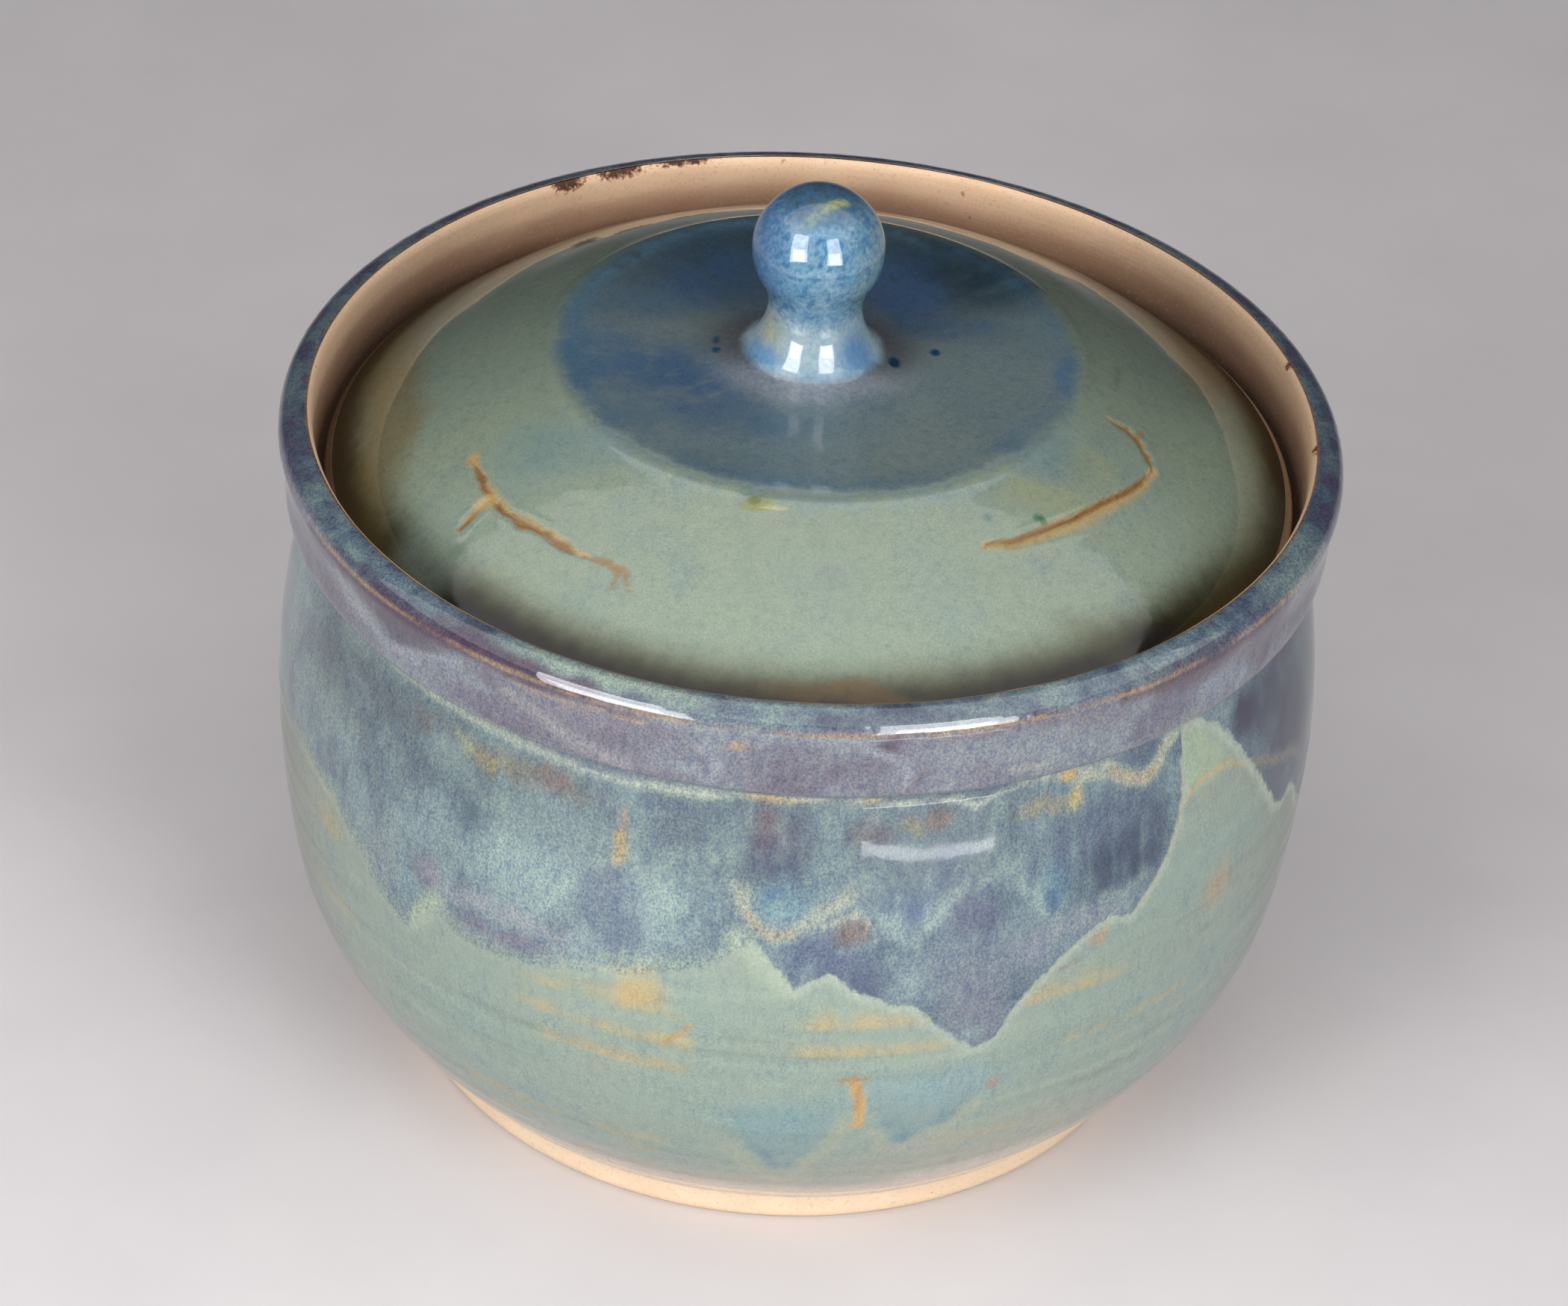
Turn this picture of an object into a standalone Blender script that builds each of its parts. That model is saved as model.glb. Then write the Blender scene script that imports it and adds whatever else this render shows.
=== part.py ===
"""A lidded stoneware jar, thrown on the wheel: a round-bellied pot on a turned foot ring, a collar
that stands over the belly, and a domed lid with a ball knob that drops onto a gallery in the collar.

The clay of the pot, the lid and the knob is modelled apart from the glass glaze fused over it, so
the bare foot, the bare gallery and the bare edge of the lid show where the glaze stops.

Metres, +Z up. The origin is the centre of the foot ring, on the surface that the jar stands on.
"""

import math

import bpy

MM = 0.001

# Driving dimensions, in millimetres. Every outline is a list of (radius, height).
GLAZE = 0.5  # thickness of the glaze
GAP = 0.3  # clearance kept between neighbouring solids
COVER = GLAZE + GAP
SEGMENTS = 40
KNOB_SEGMENTS = 20

FOOT_RADIUS = 61.7
FOOT_HEIGHT = 6.3
FOOT_RING_WIDTH = 6.4
FOOT_RECESS = 4.6
FLOOR_HEIGHT = 10.4
GLAZE_LINE = 7.1
BELLY = [(64.4, GLAZE_LINE), (74.6, 20.0), (80.6, 33.0), (82.9, 46.0), (84.0, 60.0), (83.6, 74.0),
         (82.1, 86.0), (80.2, 97.0)]
COLLAR = [(80.6, 98.9), (82.6, 99.6), (83.3, 100.8), (83.5, 105.5), (84.5, 111.0)]
LIP_CENTRE = (82.3, 112.4)
LIP_RADIUS = 2.3
LIP_INNER_ANGLE = 150  # where the glaze stops on the inner side of the lip
WALL = 5.6  # from the glaze outside to the clay inside

COLLAR_INSIDE = 79.3
GALLERY_RADIUS = 78.5
GALLERY_HEIGHT = 101.0
GALLERY_MOUTH = 70.6
GALLERY_DEPTH = 4.2

LID_RADIUS = 77.3
LID_EDGE_HEIGHT = 2.4
LID_GLAZE_RADIUS = 76.0
LID_GLAZE_FOOT = 104.9
LID_THICKNESS = 5.4
LID_SEAT_WIDTH = 6.4
PLATEAU_RADIUS = 42.6
PLATEAU_HEIGHT = 125.7
DOME_RISE = 2.0  # how far the slope of the lid bulges over a straight cone
SLOPE_STEPS = 7

KNOB_X = -0.8  # the knob was stuck on a little off centre
BALL_RADIUS = 10.4
BALL_HEIGHT = 144.9
NECK_RADIUS = 7.4
NECK_HEIGHT = 134.4
KNOB_FOOT_RADIUS = 11.0

CLAY = ((0.83, 0.66, 0.50), 0.75)
BODY_GLAZE = ((0.33, 0.47, 0.48), 0.12)
LINER_GLAZE = ((0.45, 0.56, 0.50), 0.15)
LID_GLAZE = ((0.36, 0.47, 0.38), 0.10)
KNOB_GLAZE = ((0.20, 0.40, 0.56), 0.10)


def smooth_line(points, steps):
    """A curve through every point, with this many steps between each two of them."""
    ends = [points[0], *points, points[-1]]
    line = []
    for before, start, end, after in zip(ends, ends[1:], ends[2:], ends[3:]):
        for step in range(steps):
            t = step / steps
            line.append(tuple(
                0.5 * (2 * b + (c - a) * t + (2 * a - 5 * b + 4 * c - d) * t**2
                       + (3 * b - a - 3 * c + d) * t**3)
                for a, b, c, d in zip(before, start, end, after)))
    return [*line, points[-1]]


def arc(centre, radius, start, end, steps):
    """Points along an arc, between two angles in degrees from the outward direction."""
    angles = [math.radians(start + (end - start) * i / steps) for i in range(steps + 1)]
    return [(centre[0] + radius * math.cos(a), centre[1] + radius * math.sin(a)) for a in angles]


def inset(line, depth):
    """The same outline moved inward, to the right of a line that runs down its outer side."""
    moved = []
    for i, (radius, height) in enumerate(line):
        ahead = line[min(i + 1, len(line) - 1)]
        behind = line[max(i - 1, 0)]
        run, rise = ahead[0] - behind[0], ahead[1] - behind[1]
        length = math.hypot(run, rise)
        moved.append((max(radius + depth * rise / length, 0.0), height - depth * run / length))
    return moved


def coat(line):
    """A closed outline of the glaze whose outer face is this line."""
    return line + inset(line, GLAZE)[::-1]


def finish(name, colour, roughness):
    """A plain material of this colour and roughness."""
    material = bpy.data.materials.new(name)
    material.use_nodes = True
    shader = material.node_tree.nodes["Principled BSDF"]
    shader.inputs["Base Color"].default_value = (*colour, 1.0)
    shader.inputs["Roughness"].default_value = roughness
    return material


def turned(name, outline, look, collection, segments=SEGMENTS, closed=False, x=0.0):
    """A piece turned about the vertical axis at x, from an outline that runs down its outer side."""
    mesh = bpy.data.meshes.new(name)
    points = [(radius * MM, 0.0, height * MM) for radius, height in outline]
    edges = [(i, i + 1) for i in range(len(points) - 1)]
    if closed:
        edges.append((len(points) - 1, 0))
    mesh.from_pydata(points, edges, [])
    mesh.materials.append(finish(name, *look))
    piece = bpy.data.objects.new(name, mesh)
    piece.location.x = x * MM
    turn = piece.modifiers.new("turn", "SCREW")
    turn.steps = segments
    turn.render_steps = segments
    turn.use_merge_vertices = True
    turn.merge_threshold = 0.00001
    turn.use_smooth_shade = True
    collection.objects.link(piece)
    return piece


def pot_skin():
    """The glazed face of the pot, from the inner edge of the lip down to the glaze line."""
    lip = arc(LIP_CENTRE, LIP_RADIUS, LIP_INNER_ANGLE, -10, 5)
    return lip + smooth_line(COLLAR[::-1], 1)[1:] + smooth_line(BELLY[::-1], 2)


def pot_inside():
    """The clay inside the pot, from the middle of its floor up to the gallery's mouth."""
    wall = inset(BELLY[:0:-1], WALL)[:0:-1]
    corner = [(0.0, FLOOR_HEIGHT), (FOOT_RADIUS * 0.5, FLOOR_HEIGHT + 0.3),
              (FOOT_RADIUS * 0.84, FLOOR_HEIGHT + 1.6), (FOOT_RADIUS * 1.04, FLOOR_HEIGHT + 6.2)]
    mouth = [(GALLERY_MOUTH + 1.0, GALLERY_HEIGHT - GALLERY_DEPTH),
             (GALLERY_MOUTH, GALLERY_HEIGHT - 0.4 * GALLERY_DEPTH)]
    return corner + wall + mouth


def pot_clay_outline():
    """Floor, gallery, collar, lip, belly, foot ring and the recess under it."""
    gallery = [(GALLERY_MOUTH, GALLERY_HEIGHT), (GALLERY_RADIUS, GALLERY_HEIGHT),
               (COLLAR_INSIDE, LIP_CENTRE[1] - 0.6)]
    outside = inset(pot_skin(), COVER)
    ring = FOOT_RADIUS - FOOT_RING_WIDTH
    foot = [(FOOT_RADIUS + 0.7, FOOT_HEIGHT), (FOOT_RADIUS, 0.6), (FOOT_RADIUS - 0.6, 0.0), (ring, 0.0),
            (ring - 1.6, FOOT_RECESS), (0.0, FOOT_RECESS + 0.5)]
    return pot_inside() + gallery + outside + foot


def liner_outline():
    """The glaze poured inside the pot, up to just under the gallery."""
    against_clay = inset(pot_inside()[:-1], -GAP)
    face = inset(against_clay, -GLAZE)
    return face + against_clay[::-1]


def lid_skin():
    """The glazed top of the lid, from the foot of the knob out to the glaze line at its edge."""
    run = LID_GLAZE_RADIUS - PLATEAU_RADIUS
    drop = PLATEAU_HEIGHT - LID_GLAZE_FOOT
    length = math.hypot(run, drop)
    line = [(KNOB_FOOT_RADIUS + 1.2, PLATEAU_HEIGHT), (0.6 * PLATEAU_RADIUS, PLATEAU_HEIGHT - 0.3)]
    for i in range(SLOPE_STEPS + 1):
        along = i / SLOPE_STEPS
        bulge = DOME_RISE * math.sin(math.pi * along) / length
        line.append((PLATEAU_RADIUS + run * along + drop * bulge,
                     PLATEAU_HEIGHT - drop * along + run * bulge))
    return line


def lid_clay_outline():
    """Top, edge, seat and hollow underside of the lid."""
    seat = GALLERY_HEIGHT + GAP
    top = [(0.0, PLATEAU_HEIGHT - COVER), *inset(lid_skin(), COVER)[1:]]
    edge = [(LID_RADIUS - 0.4, LID_GLAZE_FOOT - 1.0), (LID_RADIUS, seat + LID_EDGE_HEIGHT),
            (LID_RADIUS - 0.5, seat), (LID_RADIUS - LID_SEAT_WIDTH, seat)]
    under = inset(lid_skin()[2:-2], LID_THICKNESS)[::-1]
    hollow = [(0.0, PLATEAU_HEIGHT - LID_THICKNESS)]
    return top + edge + under + hollow


def knob_skin():
    """The glazed face of the knob, from the top of the ball down to its flared foot."""
    ball = arc((0.0, BALL_HEIGHT), BALL_RADIUS, 90, -42, 9)
    flare = smooth_line([(NECK_RADIUS, NECK_HEIGHT), (NECK_RADIUS + 0.9, NECK_HEIGHT - 3.4),
                         (KNOB_FOOT_RADIUS, PLATEAU_HEIGHT + GAP)], 2)
    return ball + [(NECK_RADIUS + 0.1, NECK_HEIGHT + 1.6)] + flare


def knob_clay_outline():
    """The clay of the knob, which ends on the clay of the lid."""
    clay = inset(knob_skin(), COVER)
    base = PLATEAU_HEIGHT - COVER + GAP
    return [(0.0, clay[0][1]), *clay[1:], (clay[-1][0], base), (0.0, base)]


def knob_coat_outline():
    """The glaze over the knob, open below."""
    skin = knob_skin()
    inner = inset(skin, GLAZE)
    return skin + inner[:0:-1] + [(0.0, inner[0][1])]


def build():
    for old in list(bpy.data.objects):
        bpy.data.objects.remove(old, do_unlink=True)
    jar = bpy.data.collections.new("lidded_jar")
    bpy.context.scene.collection.children.link(jar)
    turned("pot_clay", pot_clay_outline(), CLAY, jar)
    turned("pot_glaze", coat(pot_skin()), BODY_GLAZE, jar, closed=True)
    turned("liner_glaze", liner_outline(), LINER_GLAZE, jar)
    turned("lid_clay", lid_clay_outline(), CLAY, jar)
    turned("lid_glaze", coat(lid_skin()), LID_GLAZE, jar, closed=True)
    turned("knob_clay", knob_clay_outline(), CLAY, jar, KNOB_SEGMENTS, x=KNOB_X)
    turned("knob_glaze", knob_coat_outline(), KNOB_GLAZE, jar, KNOB_SEGMENTS, x=KNOB_X)


build()
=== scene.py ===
import math

import bpy
import numpy as np
from mathutils import Matrix, Quaternion, Vector


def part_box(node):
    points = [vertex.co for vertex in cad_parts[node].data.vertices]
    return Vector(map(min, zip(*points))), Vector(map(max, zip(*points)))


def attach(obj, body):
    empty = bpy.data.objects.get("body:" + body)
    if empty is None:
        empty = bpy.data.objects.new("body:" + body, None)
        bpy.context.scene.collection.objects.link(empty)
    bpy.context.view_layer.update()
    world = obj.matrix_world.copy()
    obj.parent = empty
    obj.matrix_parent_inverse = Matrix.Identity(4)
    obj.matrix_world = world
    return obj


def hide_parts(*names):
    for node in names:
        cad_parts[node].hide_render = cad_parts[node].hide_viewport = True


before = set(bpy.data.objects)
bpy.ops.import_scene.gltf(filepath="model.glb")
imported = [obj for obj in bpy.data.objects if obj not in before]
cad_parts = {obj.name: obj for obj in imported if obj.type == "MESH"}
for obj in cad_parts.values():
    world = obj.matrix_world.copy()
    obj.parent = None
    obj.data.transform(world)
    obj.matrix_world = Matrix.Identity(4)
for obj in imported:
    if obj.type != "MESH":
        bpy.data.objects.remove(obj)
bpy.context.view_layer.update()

# A lidded stoneware jar with a reactive glaze. Lengths are in millimetres and scaled once, when a
# mesh is made. An azimuth is in degrees on the jar, 0 at its front (-Y), growing towards +X.
# Glaze colours are painted on the vertices as broad washes; the shaders add the sharp edges,
# the flecks and the streaks. A colour is given as its 0 to 255 values.

MM = 0.001
DEGREE_LENGTH = 1.45  # millimetres of belly to one degree of azimuth
GIRTH = 360 * DEGREE_LENGTH


def mm_box(node):
    """Lowest and highest corner of a CAD node, in millimetres."""
    low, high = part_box(node)
    return low / MM, high / MM


# ---------------------------------------------------------------- where things are

pot_low, _ = mm_box("pot_clay")
coat_low, coat_high = mm_box("pot_glaze")
lid_low, lid_high = mm_box("lid_clay")
knob_low, knob_high = mm_box("knob_glaze")

RIM_TOP = coat_high.z
GLAZE_FOOT = coat_low.z
FOOT = pot_low.z
KNOB_X = (knob_low.x + knob_high.x) / 2
KNOB_TOP = knob_high.z
LID_SEAT = lid_low.z
LID_RADIUS = lid_high.x
PLATEAU = 125.7
GLAZE = 0.5  # its thickness
CLAY_DEPTH = GLAZE + 0.05  # how far the clay lies below the face of its glaze

FOOT_RADIUS = 61.7
FOOT_RING_WIDTH = 6.4
FOOT_RECESS = 4.6
FLOOR_HEIGHT = 10.4
BELLY = [(64.4, 7.1), (69.9, 13.2), (74.6, 20.0), (78.1, 26.5), (80.6, 33.0), (82.0, 39.5), (82.9, 46.0),
         (83.6, 53.0), (84.0, 60.0), (83.9, 67.0), (83.6, 74.0), (82.95, 80.0), (82.1, 86.0), (81.2, 91.5),
         (80.3, 96.6)]
COLLAR = [(80.6, 98.8), (81.6, 99.25), (82.6, 99.6), (83.1, 100.1), (83.3, 100.8), (83.4, 103.2),
          (83.5, 105.5), (83.95, 108.3), (84.5, 111.0)]
LIP = [(79.95, RIM_TOP + 0.19), (80.5, RIM_TOP + 0.23), (81.2, RIM_TOP + 0.1), (82.0, RIM_TOP - 0.2),
       (82.9, RIM_TOP - 0.68), (83.6, RIM_TOP - 1.22), (84.1, RIM_TOP - 1.9), (84.4, RIM_TOP - 2.75),
       (84.5, RIM_TOP - 3.65)]
GALLERY_RADIUS = 78.5
GALLERY_HEIGHT = LID_SEAT - 0.3
GALLERY_MOUTH = 70.6
WALL = 5.6
LINER_TOP = 94.0
LINER_FACE = 0.55  # how far the liner's two sides are from the clay
LINER_BACK = 0.02

PLATEAU_RADIUS = 42.6
LID_GLAZE_RADIUS = 76.0
LID_GLAZE_FOOT = 104.9
DOME_RISE = 2.0
LID_THICKNESS = 5.4
LID_SEAT_WIDTH = 6.4
KNOB_SKIRT = 15.5  # radius of the ring where the mesh of the knob meets that of the lid
KNOB_FADE = 40.0  # radius from which the lid is centred on the pot and no longer on the knob
BALL_RADIUS = 10.4
BALL_HEIGHT = KNOB_TOP - BALL_RADIUS
NECK_RADIUS = 7.4
NECK_HEIGHT = 134.4

# vertices around each piece
COAT_SEGMENTS = 560
POT_SEGMENTS = 400
LINER_SEGMENTS = 320
LID_COAT_SEGMENTS = 520
LID_SEGMENTS = 320
KNOB_SEGMENTS = 260


# ---------------------------------------------------------------- colour and noise

# A swatch is a glaze's colour with the light of its gloss on it; the pigment below is this part of it.
PIGMENT = 0.80
GLOSS_LIGHT = 0.012
DARKEST = 0.004


def colour(red, green, blue):
    """A linear colour from the 0 to 255 values of a swatch."""
    swatch = np.array((red, green, blue)) / 255
    return np.where(swatch <= 0.04045, swatch / 12.92, ((swatch + 0.055) / 1.055) ** 2.4)


def ease(low, high, value):
    """0 below low, 1 above high, and smooth between."""
    t = np.clip((value - low) / (high - low), 0, 1)
    return t * t * (3 - 2 * t)


TABLE_SIZE = 512


def lattice(x, y, seed, period=None):
    """Smooth value noise between -1 and 1, with one cell per unit, wrapping round in x if asked."""
    wide = int(period) if period else TABLE_SIZE
    table = np.random.RandomState(seed).uniform(-1, 1, (wide, TABLE_SIZE))
    x0 = np.floor(x)
    y0 = np.floor(y)
    u = x - x0
    v = y - y0
    u = u * u * (3 - 2 * u)
    v = v * v * (3 - 2 * v)
    left = x0.astype(int) % wide
    right = (left + 1) % wide
    low = y0.astype(int) % TABLE_SIZE
    high = (low + 1) % TABLE_SIZE
    return ((table[left, low] * (1 - u) + table[right, low] * u) * (1 - v)
            + (table[left, high] * (1 - u) + table[right, high] * u) * v)


def clouds(x, y, cell_x, cell_y, seed, octaves=4, around=None):
    """Fractal noise between about -1 and 1. around is the length after which x comes back."""
    total = 0
    for octave in range(octaves):
        scale = 2 ** octave
        period = round(around / cell_x) * scale if around else None
        step = around / (period / scale) if around else cell_x
        total = total + lattice(x / step * scale, y / cell_y * scale, seed + octave, period) / scale
    return total / 1.5


def blob(x, y, at, size, soft=0.5):
    """1 in an ellipse of these half sizes round the point at, fading to 0 outside."""
    away = np.hypot((x - at[0]) / size[0], (y - at[1]) / size[1])
    return 1 - ease(1 - soft, 1 + soft, away)


def band(value, low, high, soft):
    """1 from low to high, fading over the distance soft at both."""
    return ease(low - soft, low + soft, value) * (1 - ease(high - soft, high + soft, value))


def lengths(points):
    """The lengths of a broken line's pieces, and how far along it each of its points is."""
    steps = np.hypot(*np.diff(points, axis=0).T)
    return steps, np.concatenate([[0], np.cumsum(steps)])


def line_distance(x, y, points):
    """Distance to a broken line, the place along it from 0 to 1, and the side, 1 on its left."""
    points = np.array(points, float)
    steps, starts = lengths(points)
    best = np.full(x.shape, 1e9)
    place = np.zeros(x.shape)
    side = np.ones(x.shape)
    for start, end, begun, length in zip(points, points[1:], starts, steps):
        run, rise = end - start
        t = np.clip(((x - start[0]) * run + (y - start[1]) * rise) / length ** 2, 0, 1)
        away = np.hypot(x - start[0] - t * run, y - start[1] - t * rise)
        closer = away < best
        best = np.where(closer, away, best)
        place = np.where(closer, (begun + t * length) / starts[-1], place)
        turn = run * (y - start[1]) - rise * (x - start[0])
        side = np.where(closer, np.where(turn > 0, 1.0, -1.0), side)
    return best, place, side


def stroke(x, y, points, width, soft=0.6):
    """1 along a broken line of this half width, fading to 0 at its sides."""
    away, _, _ = line_distance(x, y, points)
    return 1 - ease(width * (1 - soft), width * (1 + soft), away)


class Coat:
    """Painted colours, one to a vertex, with washes laid over them in turn.

    The x of its stains and strokes is in units, of this many millimetres each.
    """

    def __init__(self, shape, swatch, unit=1.0):
        self.tones = np.zeros((*shape, 3)) + colour(*swatch)
        self.unit = unit

    def blend(self, mask, tint, strength=1.0):
        """Lays linear colours over, in full where mask times strength is 1."""
        mask = np.clip(mask * strength, 0, 1)[..., None]
        self.tones = self.tones * (1 - mask) + tint * mask

    def wash(self, mask, swatch, strength=1.0):
        self.blend(mask, colour(*swatch), strength)

    def shade(self, mask, factor, strength=1.0):
        """Multiplies what is there by factor."""
        self.blend(mask, self.tones * factor, strength)

    def stain(self, stains, x, y, soft, limit=1.0):
        """Washes soft ellipses. Each is x, y, two half sizes, a colour and its strength."""
        for at_x, at_y, half_x, half_y, swatch, strength in stains:
            mask = blob(x, y, (at_x * self.unit, at_y), (half_x * self.unit, half_y), soft)
            self.wash(mask * limit, swatch, strength)

    def draw(self, strokes, x, y, limit=1.0):
        """Washes soft lines. Each is half a width, a softness, a colour, its strength and points."""
        for width, soft, swatch, strength, points in strokes:
            mask = stroke(x, y, [(at_x * self.unit, at_y) for at_x, at_y in points], width, soft)
            self.wash(mask * limit, swatch, strength)


# ---------------------------------------------------------------- turned meshes

AT_AXIS = 0.3  # an outline whose end is nearer to the axis than this reaches it


def smooth_line(points, step):
    """A curve through every point, with points about this far apart."""
    points = np.array(points, float)
    ends = np.vstack([2 * points[0] - points[1], points, 2 * points[-1] - points[-2]])
    line = []
    for before, start, end, after in zip(ends, ends[1:], ends[2:], ends[3:]):
        count = max(1, round(float(np.hypot(*(end - start))) / step))
        for t in np.arange(count) / count:
            line.append(0.5 * (2 * start + (end - before) * t
                               + (2 * before - 5 * start + 4 * end - after) * t ** 2
                               + (3 * start - before - 3 * end + after) * t ** 3))
    return np.array([*line, points[-1]])


def arc(centre, radius, start, end, steps):
    """Points along an arc, between two angles in degrees from the outward direction."""
    angles = np.radians(np.linspace(start, end, steps + 1))
    return np.stack([centre[0] + radius * np.cos(angles), centre[1] + radius * np.sin(angles)], 1)


def slopes(line):
    """Unit outward directions of an outline that runs down its outer side."""
    run = np.gradient(line, axis=0)
    out = np.stack([-run[:, 1], run[:, 0]], 1)
    return out / np.maximum(np.hypot(*out.T), 1e-9)[:, None]


def inset(line, depth):
    """The same outline moved inward."""
    return line - slopes(line) * depth


def added(name, data):
    """A new object of the scene."""
    made = bpy.data.objects.new(name, data)
    bpy.context.scene.collection.objects.link(made)
    return made


class Turned:
    """A grid of rings turned from an outline. Its paint and relief are arrays of one value a vertex."""

    def __init__(self, outline, segments, shown=None):
        self.outline = np.array(outline, float)
        self.shown = shown or len(outline)  # how many rings, from the first, are seen
        azimuth = (np.arange(segments) * 360 / segments + 180) % 360 - 180
        self.az = np.broadcast_to(azimuth, (len(outline), segments))
        _, along = lengths(self.outline)
        self.r, self.z, self.s = (np.repeat(side[:, None], segments, 1) for side in (*self.outline.T, along))
        self.x_shift = np.zeros_like(self.r)
        self.relief = np.zeros_like(self.r)

    def plan(self, r):
        """x and y of the vertices, for rings of radius r."""
        angle = np.radians(self.az)
        return r * np.sin(angle) + self.x_shift, -r * np.cos(angle)

    def mesh(self, name, body, nodes, material, paint, sharp_ring=None, closed=False):
        """Makes the object, hands it to the frame and writes its painted values."""
        if "over" in paint:
            for key in ("under", "over"):
                paint[key] = np.maximum(paint[key] * PIGMENT - GLOSS_LIGHT, DARKEST)
        relief = self.relief.copy()
        relief[self.shown:] = 0
        out = slopes(self.outline)
        x, y = self.plan(self.r + out[:, :1] * relief)
        z = self.z + out[:, 1:] * relief
        rings, segments = z.shape
        index = np.arange(rings * segments).reshape(rings, segments)
        following = np.roll(index, -1, 0) if closed else index[1:]
        upper = index if closed else index[:-1]
        quads = np.stack([following, np.roll(following, -1, 1), np.roll(upper, -1, 1), upper], -1)
        faces = quads.reshape(-1, 4).tolist()
        points = (np.stack([x, y, z], -1) * MM).reshape(-1, 3)
        painted = {key: value.reshape(rings * segments, -1) for key, value in paint.items()}
        for ring in (0, rings - 1):
            if closed or self.outline[ring, 0] > AT_AXIS:
                continue
            # an outline that reaches the axis is closed by a fan
            pole = len(points)
            points = np.vstack([points, points[index[ring]].mean(0)])
            painted = {key: np.vstack([value, value[index[ring]].mean(0)]) for key, value in painted.items()}
            ends = [index[ring], np.roll(index[ring], -1)]
            if ring:
                ends.reverse()
            faces += np.stack([*ends, np.full(segments, pole)], 1).tolist()
        data = bpy.data.meshes.new(name)
        data.from_pydata(points.tolist(), [], faces)
        data.polygons.foreach_set("use_smooth", np.ones(len(data.polygons), bool))
        if sharp_ring is not None:
            ends = np.empty(len(data.edges) * 2, np.int32)
            data.edges.foreach_get("vertices", ends)
            hard = (ends.reshape(-1, 2) // segments == sharp_ring).all(1)
            data.edges.foreach_set("use_edge_sharp", hard)
        for key, value in painted.items():
            kind, values = "FLOAT", "value"
            if value.shape[1] == 3:
                kind, values = "FLOAT_COLOR", "color"
                value = np.hstack([value, np.ones((len(value), 1))])
            layer = data.attributes.new(key, kind, "POINT")
            layer.data.foreach_set(values, value.astype(np.float32).ravel())
        data.materials.append(material)
        data.update()
        piece = added(name, data)
        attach(piece, body)
        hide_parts(*nodes)


# ---------------------------------------------------------------- node materials

class Shader:
    """The nodes of a material or a world, added one at a time."""

    def __init__(self, owner):
        owner.use_nodes = True
        self.owner = owner
        self.tree = owner.node_tree
        self.principled = self.tree.nodes.get("Principled BSDF")

    def node(self, kind, inputs=None, **settings):
        made = self.tree.nodes.new("ShaderNode" + kind)
        for key, value in settings.items():
            setattr(made, key, value)
        for key, value in (inputs or {}).items():
            self.feed(made.inputs[key], value)
        return made

    def feed(self, socket, value):
        """Links or sets an input, which may be given as the name of one of the surface's own."""
        if isinstance(socket, str):
            socket = self.principled.inputs[socket]
        if isinstance(value, bpy.types.NodeSocket):
            self.tree.links.new(value, socket)
        else:
            socket.default_value = value

    def attribute(self, name, kind="Fac"):
        return self.node("Attribute", attribute_name=name).outputs[kind]

    def place(self, stretch=(1, 1, 1)):
        """Object coordinates in millimetres, scaled by stretch."""
        where = self.node("TexCoord").outputs["Object"]
        scale = [side / MM for side in stretch]
        mapped = self.node("Mapping", {"Vector": where, "Scale": scale})
        return mapped.outputs["Vector"]

    def noise(self, vector, size, detail, rough):
        """Noise from 0 to 1 whose grains are about size millimetres across."""
        inputs = {"Vector": vector, "Scale": 1 / size, "Detail": detail, "Roughness": rough}
        return self.node("TexNoise", inputs).outputs["Fac"]

    def math(self, operation, first, second):
        made = self.node("Math", operation=operation)
        self.feed(made.inputs[0], first)
        self.feed(made.inputs[1], second)
        return made.outputs[0]

    def ramp(self, value, low, high, to_low=0.0, to_high=1.0):
        inputs = {"Value": value, "From Min": low, "From Max": high, "To Min": to_low, "To Max": to_high}
        return self.node("MapRange", inputs, interpolation_type="SMOOTHSTEP").outputs["Result"]

    def mix(self, factor, first, second, blend="MIX"):
        made = self.node("Mix", data_type="RGBA", blend_type=blend)
        self.feed(made.inputs["Factor"], factor)
        for socket, value in ((made.inputs[6], first), (made.inputs[7], second)):
            self.feed(socket, value if isinstance(value, bpy.types.NodeSocket) else (*value, 1.0))
        return made.outputs[2]

    def tint(self, factor, base, by):
        """Multiplies a colour by another where factor is 1."""
        return self.mix(factor, base, self.mix(1.0, base, by, "MULTIPLY"))

    def bump(self, height, distance, strength):
        inputs = {"Height": height, "Distance": distance * MM, "Strength": strength}
        self.feed("Normal", self.node("Bump", inputs).outputs["Normal"])


HALO = colour(160, 172, 154) * PIGMENT
VEIN = colour(172, 172, 150) * PIGMENT


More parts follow.
